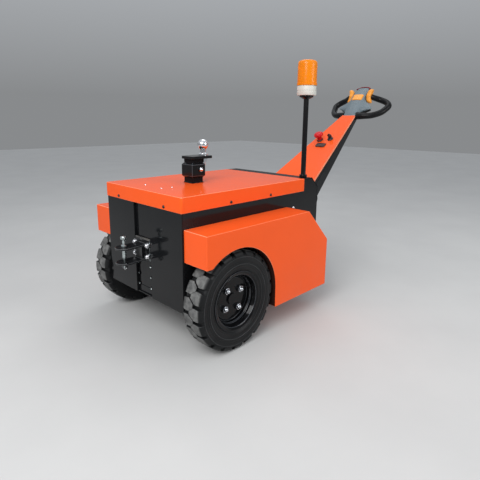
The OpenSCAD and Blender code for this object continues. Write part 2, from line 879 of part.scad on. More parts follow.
// Body of the console, grown by d: its side view, its plan and its crowned section, cut together
module console_solid(d) {
    start = on_head(cover_end + seat, arm_top + seat);
    tip = on_head(arm_l + seat, arm_top + seat);
    foot = on_head(arm_l + seat, 14);
    shoulder_h = 60;
    reach = shoulder_w + 10;
    side = [
        start, [start[0] + 3, crown_n - 5], [shoulder_h, crown_n - 1], [shoulder_h * 2, crown_n],
        [head_l - 75, crown_n - 4], [head_l - 18, 12], [head_l - 6, -4], [head_l - 6, -26],
        [head_l - 14, -38], [shoulder_h * 2, -44], foot, tip
    ];
    half_plan = [
        [start[0] - 1, arm_half(cover_end)], [shoulder_h - 38, shoulder_w * 0.62],
        [shoulder_h - 18, shoulder_w * 0.96], [shoulder_h - 14, shoulder_w], [shoulder_h + 16, shoulder_w],
        [shoulder_h + 38, shoulder_w * 0.77],
        [shoulder_h + 52, waist_w + 18], [shoulder_h + 62, waist_w], [head_l - 60, waist_w - 1],
        [head_l - 8, nose_w], [head_l, nose_w - 8]
    ];
    plan = concat(half_plan, [for (i = [len(half_plan) - 1:-1:0]) [half_plan[i][0], -half_plan[i][1]]]);
    half_crown = [
        [waist_w * 0.5, crown_n], [waist_w, crown_n - 9], [shoulder_w, 3], [reach, 2], [reach, -26], [waist_w, -50]
    ];
    crown = concat(half_crown, [for (i = [len(half_crown) - 1:-1:0]) [-half_crown[i][0], half_crown[i][1]]]);
    intersection() {
        side_plate(-reach, reach) grown(d) polygon(side);
        translate([0, 0, -2 * reach]) linear_extrude(4 * reach) grown(d) polygon(plan);
        translate([-reach, 0, 0]) rotate([90, 0, 90]) linear_extrude(head_l + 2 * reach) grown(d) polygon(crown);
    }
}

module console() { color(grey) head_frame() console_solid(0); }

// Points along a smooth curve through the points of p
function spline(p, i, t) = let (
        a = p[max(i - 1, 0)], b = p[i], c = p[i + 1], d = p[min(i + 2, len(p) - 1)]
    ) 0.5 * (2 * b + (c - a) * t + (2 * a - 5 * b + 4 * c - d) * t * t + (3 * b - 3 * c + d - a) * t * t * t);

function smooth_path(p, n) = [for (i = [0:len(p) - 2], k = [0:n - 1]) spline(p, i, k / n), p[len(p) - 1]];

// A round tube along a path in space, with its rings kept square to the path
module round_tube(path, d, sides) {
    last = len(path) - 1;
    rings = [for (i = [0:last]) let (
            dir = path[min(i + 1, last)] - path[max(i - 1, 0)],
            along = dir / norm(dir),
            flat = cross(along, [0, 0, 1]),
            side = flat / norm(flat),
            rise = cross(side, along)
        ) for (k = [0:sides - 1]) let (a = k * 360 / sides)
            path[i] + (side * cos(a) + rise * sin(a)) * d / 2];
    polyhedron(rings, concat(
        [[for (k = [0:sides - 1]) k]],
        [for (i = [0:last - 1], k = [0:sides - 1]) [
            i * sides + k, (i + 1) * sides + k,
            (i + 1) * sides + (k + 1) % sides, i * sides + (k + 1) % sides
        ]],
        [[for (k = [sides - 1:-1:0]) last * sides + k]]
    ));
}

// Distance from the knobs' middle to the console's nose, their middle up the head, and their inner faces
knob_back = 80;
knob_h = head_l - knob_back;
knob_y = waist_w + 3;

// Each loop leaves the console's foot, swings out and back over the shoulder, and ends at its knob.
// The points give the distance up the head, the distance out and the height over its face.
module grip_loops() {
    y = loop_reach - loop_d / 2;
    route = [
        [0, arm_tip, 6], [6, y * 0.46, 0], [22, y * 0.67, -14], [62, y * 0.88, -34], [105, y * 0.97, -47],
        [138, y, -52], [165, y * 0.87, -50], [knob_h + 4, y * 0.65, -38], [knob_h, y * 0.49, -14],
        [knob_h, knob_y + knob_w - 4, -2]
    ];
    color(rubber) head_frame() both_sides() difference() {
        round_tube(smooth_path(route, 4), loop_d, 14);
        console_solid(seat);
        translate([knob_h - knob_l / 2, 0, -knob_l / 2]) cube([knob_l, knob_y + knob_w + seat, knob_l]);
        rotate([0, head_deg, 0]) translate([-head_s, 0, -head_t]) arm_block(seat);
    }
}

// The arm's outer block, grown by d, for what has to stay clear of it
module arm_block(d) {
    intersection() {
        side_plate(-arm_base, arm_base) polygon([
            [arm_l / 2, 0], [arm_l + d, 18 - d], [arm_l + d, arm_top + d], [cover_end + seat, arm_top + d],
            [cover_end + seat, arm_top + 2 * seat + cover_t], [arm_l / 2, arm_top + 2 * seat + cover_t]
        ]);
        linear_extrude(2 * arm_top) arm_plan(arm_l / 2, arm_l + d, cover_t + seat + d);
    }
}

module throttle_knobs() {
    r = 16;
    lobe = knob_l / 2 - r;
    color(yellow) head_frame() both_sides() translate([knob_h, knob_y, 0]) rotate([0, -20, 0]) {
        rod_y(44, knob_w);
        side_plate(0, knob_w) {
            translate([-lobe, 4]) circle(r = r);
            translate([lobe, 4]) circle(r = r);
            polygon([[-lobe, 4 - r], [lobe, 4 - r], [lobe, 4 + r], [-lobe, 4 + r]]);
        }
    }
}

module horn_bar() {
    t = 4;
    color(yellow) head_frame() difference() {
        intersection() {
            console_solid(seat + t);
            translate([head_l / 2 + 14, 0, 0]) linear_extrude(crown_n + 2 * t) round_rect(52, 74, 6);
        }
        console_solid(seat);
    }
}

// The switch wraps over the console's nose, so that it is pressed against the driver's body
module belly_switch() {
    color(red) head_frame() {
        side_plate(-nose_w + 4, nose_w - 4) polygon([
            [head_l - 18 + seat, 12 + seat], [head_l - 16, 15], [head_l - 5, 4], [head_l, -6], [head_l, -26],
            [head_l - 4, -nose_drop], [head_l - 6 + seat, -nose_drop], [head_l - 6 + seat, -4]
        ]);
    }
}

// Controls on the arm's cover: distance along the arm and distance to the left
stop_at = [474, 44];
key_at = [490, -22];
meter_at = [418, 6];
cover_top = arm_top + seat + cover_t + seat;

module stop_button() {
    color(red) arm_frame() translate([stop_at[0], stop_at[1], cover_top]) rotate_extrude() polygon([
        [0, 0], [15, 0], [15, 8], [14, 22], [19, 30], [28, 35], [29, 40], [27, 47], [20, 52], [10, 54], [0, 54]
    ]);
}

module key_switch() {
    color(black) arm_frame() translate([key_at[0], key_at[1], cover_top]) {
        rotate_extrude() polygon([[0, 0], [18, 0], [18, 4], [14, 9], [0, 9]]);
        translate([-3, -11, 8]) cube([6, 22, 8]);
        translate([-2.5, 0, 26]) rotate([0, 90, 0]) difference() {
            cylinder(h = 5, d = 26);
            translate([-4, 0, -cut]) cylinder(h = 5 + 2 * cut, d = 8);
        }
    }
}

module charge_meter() {
    color(black) arm_frame() translate([meter_at[0], meter_at[1], cover_top]) difference() {
        linear_extrude(6) round_rect(34, 62, 4);
        translate([-11, -24, 4.5]) cube([22, 48, 3]);
    }
}

front_panels();
mast_plate();
side_panels();
rear_cover();
floor_pan();
lid();
fender_left();
fender_right();
batteries();
drive_unit();
coupling_jaw();
coupling_bolts();
drop_pin();
pin_clip();
tow_post();
tow_sleeve();
ball_plate();
tow_ball();
post_bolt();
beacon_pole();
beacon_base();
beacon_lens();
hub_left();
rim_left();
tyre_left();
wheel_nuts_left();
hub_right();
rim_right();
tyre_right();
wheel_nuts_right();
caster_plate();
caster_fork();
caster_wheel();
tiller_bracket();
tiller_pivot();
tiller_arm();
tiller_cover();
console();
grip_loops();
throttle_knobs();
horn_bar();
belly_switch();
stop_button();
key_switch();
charge_meter();
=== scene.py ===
import json
import math

import bmesh
import bpy
from bpy.props import FloatProperty, FloatVectorProperty, IntProperty, PointerProperty
from mathutils import Matrix, Vector


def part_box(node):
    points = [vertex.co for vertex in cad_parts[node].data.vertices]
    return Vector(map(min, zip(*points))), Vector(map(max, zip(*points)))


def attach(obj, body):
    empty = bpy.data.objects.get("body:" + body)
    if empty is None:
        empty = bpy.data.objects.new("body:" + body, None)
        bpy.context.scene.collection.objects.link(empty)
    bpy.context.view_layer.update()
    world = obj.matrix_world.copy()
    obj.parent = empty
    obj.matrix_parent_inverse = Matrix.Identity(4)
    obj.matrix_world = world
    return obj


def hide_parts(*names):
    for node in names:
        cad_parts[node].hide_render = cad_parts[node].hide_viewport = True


bl_info = {
    "name": "Tow Tug Dressing",
    "version": (1, 0, 0),
    "blender": (4, 5, 0),
    "location": "View3D > Sidebar > Tow Tug",
    "description": "Dresses the packed tow tug with moulded pieces, fasteners, finishes and a studio",
    "category": "Object",
}

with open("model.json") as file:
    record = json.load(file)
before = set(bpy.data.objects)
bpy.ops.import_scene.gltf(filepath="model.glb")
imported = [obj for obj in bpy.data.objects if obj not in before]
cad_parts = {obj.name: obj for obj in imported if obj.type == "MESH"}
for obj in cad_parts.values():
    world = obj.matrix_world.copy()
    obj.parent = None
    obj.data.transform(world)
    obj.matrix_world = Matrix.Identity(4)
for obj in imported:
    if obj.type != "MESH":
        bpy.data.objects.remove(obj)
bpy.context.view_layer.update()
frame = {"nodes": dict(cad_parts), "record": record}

MM = 0.001
TILLER_DEG = 31.8
# The head on the arm: distance along it, height over it, angle to it
HEAD_S, HEAD_T, HEAD_DEG = 795.0, 39.0, 17.4
# Painted highlight colour on edges and sides that catch the light
HIGHLIGHT_ORANGE = (1.0, 0.31, 0.165)
# Painted shade inside the fenders, where no light comes
SHADOW = (0.03, 0.012, 0.009)
# Colour of worn and dusty rubber
WORN = (0.21, 0.21, 0.205)
# Radius below which a turned profile touches its axis, in millimetres
ON_AXIS = 1e-6


def box(node):
    """Lowest and highest corner of a CAD node, in metres."""
    low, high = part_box(node)
    return Vector(low), Vector(high)


def joint_place(name):
    """Where a joint's axis passes, in metres."""
    joints = {j["name"]: j for j in frame["record"]["behaviour"]["joints"]}
    return Vector(joints[name]["pos_m"])


def shift(x, y, z):
    return Matrix.Translation((x, y, z))


def tilt(degrees):
    """Lifts local +X by an angle."""
    return Matrix.Rotation(-math.radians(degrees), 4, "Y")


def facing(axis):
    """Turns local +Z to the axis."""
    return Vector(axis).to_track_quat("Z", "Y").to_matrix().to_4x4()


FRONT_X = box("front_panels")[0].x
# The vehicle's own frame in millimetres: x from the front panels, y to the left, z up
VEHICLE = shift(FRONT_X, 0, 0) @ Matrix.Scale(MM, 4)
# The arm's frame: x runs along the arm from its pivot, z stands square to it
ARM = Matrix.Translation(joint_place("tiller_tilt")) @ tilt(TILLER_DEG) @ Matrix.Scale(MM, 4)
# The head's frame: x runs up the head, z stands square to its face
HEAD = ARM @ shift(HEAD_S, 0, HEAD_T) @ tilt(HEAD_DEG)


def corners(node):
    """Lowest and highest corner of a CAD node in the vehicle's frame, in millimetres."""
    return [Vector(((c.x - FRONT_X) / MM, c.y / MM, c.z / MM)) for c in box(node)]


def wheel_frame(side):
    """A drive wheel's frame in millimetres: z runs outwards along the axle."""
    outwards = facing((0, 1 if side == "left" else -1, 0))
    return Matrix.Translation(joint_place("wheel_" + side + "_spin")) @ outwards @ Matrix.Scale(MM, 4)


def colour(name, description, default):
    return FloatVectorProperty(
        name=name, description=description, subtype="COLOR", size=3, min=0, max=1, default=default)


class TugSettings(bpy.types.PropertyGroup):
    """Sizes and colours of the dressing"""

    orange: colour("Panel paint", "Colour of the lid, the fenders and the tiller's cover",
                   (0.90, 0.106, 0.017))
    black: colour("Body paint", "Colour of the body's black sheet metal", (0.0062, 0.0066, 0.0074))
    console: colour("Console", "Colour of the moulded console", (0.143, 0.182, 0.205))
    knob: colour("Knobs", "Colour of the throttle knobs and the horn bar", (0.86, 0.34, 0.045))
    lens: colour("Lens", "Colour of the beacon's lens", (1.0, 0.29, 0.008))
    bend: FloatProperty(
        name="Bend radius", description="Radius of the sheet metal's bent edges",
        default=0.0035, min=0.0005, max=0.008, unit="LENGTH")
    screw: FloatProperty(
        name="Screw head", description="Diameter of the lid's screw heads",
        default=0.013, min=0.008, max=0.02, unit="LENGTH")
    dust: FloatProperty(
        name="Dust", description="Share of dust on the tread and near the ground",
        default=0.5, min=0, max=1, subtype="FACTOR")
    lugs: IntProperty(
        name="Lugs", description="Number of lugs in each of a tyre's two rows",
        default=20, min=16, max=24)
    ribs: IntProperty(
        name="Lens ribs", description="Number of upright ribs inside the beacon's lens",
        default=36, min=12, max=60)


# Shaders

GREY = (0.5, 0.5, 0.5, 1)


def new_group(name, inputs, outputs):
    """Makes a shader node group. Returns its wiring, what its input node gives and what its output takes."""
    group = bpy.data.node_groups.new(name, "ShaderNodeTree")
    for label, kind, value in inputs:
        socket = group.interface.new_socket(label, in_out="INPUT", socket_type="NodeSocket" + kind)
        socket.default_value = value
    for label, kind in outputs:
        group.interface.new_socket(label, in_out="OUTPUT", socket_type="NodeSocket" + kind)
    given = group.nodes.new("NodeGroupInput").outputs
    out = group.nodes.new("NodeGroupOutput").inputs
    return Wiring(group), given, out


class Wiring:
    """Short calls for making and joining nodes in one tree."""

    def __init__(self, tree):
        self.tree = tree

    def join(self, source, target):
        self.tree.links.new(source, target)

    def node(self, kind, inputs=None, **values):
        """Makes a node, sets or joins its inputs and returns its outputs."""
        made = self.tree.nodes.new(kind)
        for key, value in values.items():
            setattr(made, key, value)
        for key, value in (inputs or {}).items():
            if hasattr(value, "is_output"):
                self.join(value, made.inputs[key])
            else:
                made.inputs[key].default_value = value
        return made.outputs

    def place(self):
        """Where a point lies on its object."""
        return self.node("ShaderNodeTexCoord")["Object"]

    def noise(self, vector, scale, detail=3.0, rough=0.55):
        return self.node("ShaderNodeTexNoise", {
            "Vector": vector, "Scale": scale, "Detail": detail, "Roughness": rough})["Fac"]

    def math(self, operation, a, b=0.0, kind="ShaderNodeMath"):
        return self.node(kind, {0: a, 1: b}, operation=operation)[0]

    def remap(self, value, low, high, to_low=0.0, to_high=1.0):
        return self.node("ShaderNodeMapRange", {
            "Value": value, "From Min": low, "From Max": high, "To Min": to_low, "To Max": to_high
        }, clamp=True)["Result"]

    def mix(self, factor, a, b):
        return self.node("ShaderNodeMix", {0: factor, 6: a, 7: b}, data_type="RGBA")[2]

    def axes(self, vector):
        return self.node("ShaderNodeSeparateXYZ", {0: vector})


def finish_group(name):
    """Cloudy colour, uneven gloss and a fine grain, all over a piece."""
    w, given, out = new_group(name, (
        ("Color", "Color", GREY),
        ("Second Color", "Color", GREY),
        ("Cloud Scale", "Float", 6.0),
        ("Smooth", "Float", 0.2),
        ("Rough", "Float", 0.4),
        ("Grain Scale", "Float", 600.0),
    ), (("Color", "Color"), ("Roughness", "Float"), ("Height", "Float")))
    place = w.place()
    fade = w.remap(w.noise(place, given["Cloud Scale"], 5.0), 0.35, 0.68)
    w.join(w.mix(fade, given["Color"], given["Second Color"]), out["Color"])
    smear = w.noise(place, w.math("MULTIPLY", given["Cloud Scale"], 3.3), 6.0, 0.65)
    w.join(w.remap(smear, 0.35, 0.7, given["Smooth"], given["Rough"]), out["Roughness"])
    w.join(w.noise(place, given["Grain Scale"], 2.0), out["Height"])


def dust_group(name):
    """Dust that lies low on the vehicle."""
    w, given, out = new_group(name, (
        ("Color", "Color", GREY),
        ("Roughness", "Float", 0.3),
        ("Dust Color", "Color", (0.33, 0.30, 0.26, 1)),
        ("Amount", "Float", 0.3),
        ("Low", "Float", 0.05),
        ("High", "Float", 0.45),
    ), (("Color", "Color"), ("Roughness", "Float")))
    place = w.place()
    low = w.remap(w.axes(place)[2], given["Low"], given["High"], 1.0, 0.0)
    spread = w.remap(w.noise(place, 9.0, 8.0, 0.7), 0.42, 0.72, 0.1, 1.0)
    mask = w.math("MULTIPLY", w.math("MULTIPLY", low, spread), given["Amount"])
    w.join(w.mix(mask, given["Color"], given["Dust Color"]), out["Color"])
    w.join(w.remap(mask, 0.0, 1.0, given["Roughness"], 0.85), out["Roughness"])


def tread_group(name):
    """Pale dust on the faces far from the axle, for a tyre or a wheel."""
    w, given, out = new_group(name, (
        ("Color", "Color", GREY),
        ("Worn Color", "Color", (0.1, 0.1, 0.1, 1)),
        ("Axle", "Vector", (0, 0, 0)),
        ("Inner", "Float", 0.195),
        ("Outer", "Float", 0.207),
        ("Amount", "Float", 0.5),
    ), (("Color", "Color"), ("Mask", "Float")))
    place = w.place()
    vector_math = "ShaderNodeVectorMath"
    away = w.math("SUBTRACT", place, given["Axle"], vector_math)
    square = w.math("MULTIPLY", away, (1, 0, 1), vector_math)
    length = w.node(vector_math, {0: square}, operation="LENGTH")["Value"]
    far = w.remap(length, given["Inner"], given["Outer"])
    patchy = w.remap(w.noise(place, 38.0, 8.0, 0.72), 0.36, 0.64, 0.35, 1.0)
    mask = w.math("MULTIPLY", w.math("MULTIPLY", far, patchy), given["Amount"])
    w.join(w.mix(mask, given["Color"], given["Worn Color"]), out["Color"])
    w.join(mask, out["Mask"])


def inside_group(name):
    """A mask of what lies inside a box that stands the same on both sides of the vehicle, for painted shade.
    """
    w, given, out = new_group(name, (
        ("Low", "Vector", (0, 0, 0)),
        ("High", "Vector", (1, 1, 1)),
    ), (("Mask", "Float"),))
    x, y, z = w.axes(w.place())
    mask = 1.0
    for value, low, high in zip((x, w.math("ABSOLUTE", y), z), w.axes(given["Low"]), w.axes(given["High"])):
        within = w.math("MULTIPLY", w.math("GREATER_THAN", value, low), w.math("LESS_THAN", value, high))
        mask = w.math("MULTIPLY", within, mask)
    w.join(mask, out["Mask"])


def opaque(rgb):
    return (*rgb, 1.0)


def shade(rgb, factor):
    return tuple(min(1.0, c * factor) for c in rgb)


def new_material(name):
    """A material with its Principled shader and the wiring of its tree, or None if it exists."""
    if name in bpy.data.materials:
        return bpy.data.materials[name], None, None
    material = bpy.data.materials.new(name)
    material.use_nodes = True
    shader = material.node_tree.nodes["Principled BSDF"]
    return material, shader, Wiring(material.node_tree)


GROUPS = {"Finish": finish_group, "Dust": dust_group, "Tread Dust": tread_group, "Inside": inside_group}


def place_group(w, name, values):
    """Places one of the groups, which is made the first time, and returns what it gives."""
    if name not in bpy.data.node_groups:
        GROUPS[name](name)
    return w.node("ShaderNodeGroup", values, node_tree=bpy.data.node_groups[name])


def finished(name, color, second=None, cloud=6.0, smooth=0.2, rough=0.4, grain=600.0, bump=0.02, depth=0.0002,
             metal=0.0, dust=0.0, dust_low=0.05, dust_high=0.45, specular=0.35, worn=None, inside=None,
             turned=None, extra=None):
    """A material from the Finish group, with dust near the ground and what else is asked for.

    Worn holds the axle, the distances to it from which and to which the wear fades in, and its amount.
    Inside holds the lowest and highest corner of a box painted with shade. Turned holds an axis, the parts of
    the normal along it where a painted highlight starts and is full, and the highlight's colour. Extra holds
    more inputs of the shader.
    """
    material, shader, w = new_material(name)
    if w is None:
        return material
    outs = place_group(w, "Finish", {
        "Color": opaque(color), "Second Color": opaque(second or shade(color, 0.88)), "Cloud Scale": cloud,
        "Smooth": smooth, "Rough": rough, "Grain Scale": grain})
    tint, gloss = outs["Color"], outs["Roughness"]
    if worn:
        axle, inner, outer, amount = worn
        wear = place_group(w, "Tread Dust", {
            "Color": tint, "Worn Color": opaque(WORN), "Axle": axle, "Inner": inner, "Outer": outer,
            "Amount": amount})
        tint, gloss = wear["Color"], w.remap(wear["Mask"], 0.0, 1.0, smooth, rough)
    if dust:
        low = place_group(w, "Dust", {
            "Color": tint, "Roughness": gloss, "Amount": dust, "Low": dust_low, "High": dust_high})
        tint, gloss = low["Color"], low["Roughness"]
    # Painted shade inside the box
    if inside:
        within = place_group(w, "Inside", {"Low": inside[0], "High": inside[1]})
        tint = w.mix(within["Mask"], tint, opaque(SHADOW))
    # A painted highlight: where the normal turns along the axis, the highlight's colour takes over
    if turned:
        axis, start, full, other = turned
        normal = w.axes(w.node("ShaderNodeNewGeometry")["Normal"])[axis]
        tint = w.mix(w.remap(w.math("ABSOLUTE", normal), start, full), tint, opaque(other))
    w.join(tint, shader.inputs["Base Color"])
    w.join(gloss, shader.inputs["Roughness"])
    for key, value in {"Metallic": metal, "Specular IOR Level": specular, **(extra or {})}.items():
        shader.inputs[key].default_value = value
    if bump:
        ridge = w.node("ShaderNodeBump", {"Strength": bump, "Distance": depth, "Height": outs["Height"]})
        w.join(ridge["Normal"], shader.inputs["Normal"])
    return material


def tyre_rubber(name, joint, inner, outer, s):
    """Black rubber, pale with wear and dust from one distance to the wheel's axle to another."""
    worn = (joint_place(joint), inner, outer, min(1.0, 0.4 + s.dust))
    return finished(name, (0.005, 0.0053, 0.006), (0.0105, 0.011, 0.0115), 11, 0.42, 0.85, 900, 0.25, 0.0006,
                    specular=0.2, worn=worn)


def orange_paint(name, s, **values):
    """The paint of the lid, the fenders and the tiller's cover, dusty low down."""
    values = {"dust": 0.16 * s.dust, "dust_high": 0.32, **values}
    return finished(name, s.orange, shade(s.orange, 0.96), 3, 0.16, 0.24, 900, 0.04, **values)


def kit(s):
    """The materials that several pieces share.

    After a material's two colours come the scale of its clouds, its least and most roughness, and the scale,
    strength and depth of its grain.
    """
    dust, black = s.dust, s.black
    return {
        "orange": orange_paint("orange_gloss_paint", s, specular=0.1),
        # The cover's faces that turn to either side carry a painted highlight
        "cover": orange_paint("orange_cover_paint_and_highlight", s, dust=0, specular=0.16,
                              turned=(1, 0.4, 0.7, HIGHLIGHT_ORANGE)),
        # Painted highlight on bent edges whose normal turns partly upwards
        "orange_edge_highlight": finished("orange_edge_paint", s.orange, s.orange, 20, 0.16, 0.24, 900, 0.04,
                                specular=0.3, turned=(2, 0.15, 0.5, HIGHLIGHT_ORANGE)),
        "black": finished("black_gloss_paint", black, shade(black, 1.3), 4, 0.07, 0.13, 900, dust=0.04 * dust,
                          dust_high=0.4, specular=0.22),
        "dull_black": finished("black_dull_paint", black, shade(black, 1.3), 4, 0.3, 0.4, 900, specular=0.06),
        "rim": finished("black_rim_paint", shade(black, 0.5), shade(black, 0.8), 30, 0.07, 0.13, 700, 0.03,
                        specular=0.2),
        # Painted highlight for the edges of the rims, the tow sleeve and the ball's plate
        "rim_edge_highlight": finished("rim_edge_paint", (0.05, 0.054, 0.062), (0.03, 0.033, 0.04), 30, 0.07, 0.13, 700,
                             0.03, specular=0.6),
        "nut": finished("plated_wheel_nut", (0.60, 0.62, 0.65), (0.48, 0.49, 0.52), 90, 0.14, 0.26, 500,
                        metal=1),
        "iron": finished("black_satin_steel", black, shade(black, 1.7), 30, 0.24, 0.36, 700, 0.08, 0.0003,
                         dust=1.2 * dust, dust_low=0.4215, dust_high=0.4195, specular=0.3),
        # Painted highlight on the edges of the coupling's jaw
        "iron_edge_highlight": finished("steel_edge_highlight", (0.10, 0.103, 0.107), (0.05, 0.052, 0.054), 60, 0.24, 0.36,
                              700, 0.08, 0.0003),
        "chrome": finished("polished_chrome", (0.80, 0.80, 0.82), (0.74, 0.75, 0.77), 40, 0.06, 0.14, 500,
                           0.01, metal=1),
        "zinc": finished("zinc_plated_steel", (0.52, 0.58, 0.58), (0.40, 0.44, 0.44), 60, 0.22, 0.38, 800,
                         0.06, metal=1),
        "bolt": finished("black_oxide_bolt", (0.03, 0.03, 0.032), (0.05, 0.05, 0.05), 90, 0.3, 0.45, 900,
                         0.05, metal=0.6),
        "grey": finished("console_plastic", s.console, shade(s.console, 0.9), 14, 0.38, 0.52, 1400, 0.08),
        "knob": finished("knob_plastic", s.knob, shade(s.knob, 0.93), 18, 0.30, 0.42, 1200, 0.04, 0.0001),
        "grip": finished("hand_grip_rubber", (0.006, 0.0062, 0.007), (0.009, 0.0092, 0.01), 30, 0.28, 0.36,
                         1600, 0.08, specular=0.15),
        "red": finished("red_button_plastic", (0.60, 0.008, 0.012), (0.5, 0.006, 0.01), 25, 0.22, 0.34, 900,
                        0.05, specular=0.25),
        "dark_red": finished("red_switch_plastic", (0.20, 0.010, 0.018), (0.16, 0.008, 0.014), 25, 0.4, 0.5,
                             900, specular=0.15),
        "switch": finished("switch_plastic", (0.022, 0.022, 0.024), (0.035, 0.035, 0.036), 40, 0.35, 0.5,
                           1500, 0.15, 0.0003),
        # Paler tone of the meter's window, a painted reflection
        "window": finished("meter_window_reflection", (0.10, 0.09, 0.082), (0.07, 0.065, 0.06), 60, 0.1, 0.16, 900),
        "white": finished("lamp_base_plastic", (0.63, 0.62, 0.57), (0.55, 0.54, 0.49), 20, 0.32, 0.5, 900,
                          0.1),
        "battery": finished("battery_case", (0.20, 0.21, 0.23), None, 12, 0.45, 0.6, 900, 0.2),
        "cast": finished("cast_housing", (0.035, 0.035, 0.036), (0.06, 0.058, 0.055), 40, 0.5, 0.7, 350, 0.5,
                         0.0008, dust=0.5 * dust),
        "ring": finished("ring_rubber", (0.085, 0.087, 0.092), (0.03, 0.031, 0.033), 16, 0.4, 0.55, 900, 0.1),
        "glow": finished("amber_inner", s.lens, shade(s.lens, 0.9), 30, 0.3, 0.4, 500, 0.05),
        "lens": finished("amber_lens", s.lens, shade(s.lens, 0.9), 12, 0.16, 0.24, 300, 0, specular=0.5,
                         extra={"Transmission Weight": 0.25, "IOR": 1.3}),
    }


# Shapes

def circle(steps):
    """Cosine and sine of evenly spaced angles, all round."""
    angles = [2 * math.pi * k / steps for k in range(steps)]
    return [(math.cos(a), math.sin(a)) for a in angles]


def rectangle(x0, x1, y0, y1):
    return [(x0, y0), (x1, y0), (x1, y1), (x0, y1)]


def heading(path, i):
    """The direction of a path at one of its points."""
    return (path[min(i + 1, len(path) - 1)] - path[max(i - 1, 0)]).normalized()


def smooth_curve(points, count):
    """Points along a smooth curve through the given points, with count steps between each two."""
    path = [Vector(p) for p in points]
    made = []
    for i in range(len(path) - 1):
        a, b, c, d = path[max(i - 1, 0)], path[i], path[i + 1], path[min(i + 2, len(path) - 1)]
        for k in range(count):
            t = k / count
            made.append(0.5 * (2 * b + (c - a) * t + (2 * a - 5 * b + 4 * c - d) * t * t
                               + (3 * b - 3 * c + d - a) * t * t * t))
    return made + [path[-1]]


def between(table, x, column=1):
    """The value in a column of a table at x, on straight lines between the rows."""
    for low, high in zip(table, table[1:]):
        if x <= high[0]:
            share = max(0.0, (x - low[0]) / (high[0] - low[0]))
            return low[column] + (high[column] - low[column]) * share
    return table[-1][column]


def soften(made, width, segments, degrees):
    """Rounds an object's edges that turn by more than the angle."""
    soft = made.modifiers.new("Soft edges", "BEVEL")
    soft.width = width
    soft.segments = segments
    soft.limit_method = "ANGLE"
    soft.angle_limit = math.radians(degrees)
    soft.harden_normals = True
    return soft


class Shape:
    """Gathers vertices and faces, in millimetres of a local frame, and makes one piece of them."""

    def __init__(self):
        self.verts = []
        self.faces = []

    def add(self, place, verts, faces):
        start = len(self.verts)
        self.verts += [place @ Vector(v) for v in verts]
        self.faces += [[i + start for i in face] for face in faces]

    def lathe(self, place, profile, steps=48, closed=False):
        """Turns (radius, height) points about local Z. Ends on the axis close by themselves."""
        verts, rings = [], []
        for r, z in profile:
            if r < ON_AXIS:
                rings.append([len(verts)] * steps)
                verts.append((0, 0, z))
            else:
                rings.append([len(verts) + k for k in range(steps)])
                verts += [(r * c, r * s, z) for c, s in circle(steps)]
        faces = []
        pairs = list(zip(rings, rings[1:])) + ([(rings[-1], rings[0])] if closed else [])
        for low, high in pairs:
            for k in range(steps):
                n = (k + 1) % steps
                face = list(dict.fromkeys((low[k], low[n], high[n], high[k])))
                if len(face) > 2:
                    faces.append(face)
        for (r, z), ring in ((profile[0], rings[0][::-1]), (profile[-1], rings[-1])):
            if not closed and r > ON_AXIS:
                faces.append(ring)
        self.add(place, verts, faces)

    def loft(self, place, rings):
        """Joins rings of equal length and closes both ends."""
        count = len(rings[0])
        verts = [v for ring in rings for v in ring]
        faces = []
        for low in range(0, (len(rings) - 1) * count, count):
            high = low + count
            for k in range(count):
                n = (k + 1) % count
                faces.append([low + k, low + n, high + n, high + k])
        faces += [list(range(count))[::-1], list(range(len(verts) - count, len(verts)))]
        self.add(place, verts, faces)

    def prism(self, place, outline, low, high):
        """Raises a flat (x, y) outline from low to high."""
        self.loft(place, [[(x, y, z) for x, y in outline] for z in (low, high)])

    def tube(self, place, path, radius, sides=18):
        """A round bar along a path. The radius is a number or a function of the share of the path."""
        rings, side = [], None
        last = len(path) - 1
        for i, point in enumerate(path):
            along = heading(path, i)
            if side is None:
                side = along.orthogonal().normalized()
            side = (side - along * side.dot(along)).normalized()
            rise = along.cross(side)
            r = radius(i / last) if callable(radius) else radius
            rings.append([point + (side * c + rise * s) * r for c, s in circle(sides)])
        self.loft(place, rings)

    def piece(self, name, material, body, slot, replaced=(), sharp=35.0, bevel=0.0):
        """Makes the object, in metres of the shared frame, and hands it to its body."""
        mesh = bpy.data.meshes.new(name)
        mesh.from_pydata(self.verts, [], self.faces)
        mesh.validate()
        mesh.materials.append(material)
        made = bpy.data.objects.new(name, mesh)
        bpy.context.scene.collection.objects.link(made)
        tidy_mesh(mesh, sharp)
        if bevel:
            soften(made, bevel, 3, 38)
        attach(made, body)
        if replaced:
            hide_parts(*replaced)


def tidy_mesh(mesh, sharp):
    """Turns all faces outwards and shades them smooth up to the sharp angle."""
    work = bmesh.new()
    work.from_mesh(mesh)
    bmesh.ops.remove_doubles(work, verts=work.verts, dist=1e-6)
    bmesh.ops.recalc_face_normals(work, faces=work.faces)
    work.to_mesh(mesh)
    work.free()
    mesh.polygons.foreach_set("use_smooth", [True] * len(mesh.polygons))
    mesh.set_sharp_from_angle(angle=math.radians(sharp))


def dress(material, edge, *nodes, edge_highlight=None, clamp=True):
    """Gives CAD nodes a material and, with an edge radius, round edges that may carry a painted highlight."""
    for name in nodes:
        node = frame["nodes"][name]
        for held in node.material_slots:
            held.material = material
        if edge:
            weld = node.modifiers.new("Join faces", "WELD")
            weld.merge_threshold = 0.00001
            soft = soften(node, edge, 2, 32)
            soft.use_clamp_overlap = clamp
            if edge_highlight:
                node.data.materials.append(edge_highlight)
                soft.material = len(node.material_slots) - 1


# Fasteners

def button_head(shape, place, d, h):
    """A low round head with a hexagon socket."""
    r = d / 2
    profile = [(0, 0.45), (0.42, 0.45), (0.46, 0.97), (0.55, 1), (0.82, 0.72), (1, 0.2), (1, 0), (0, 0)]
    shape.lathe(place, [(r * out, h * up) for out, up in profile], 24)


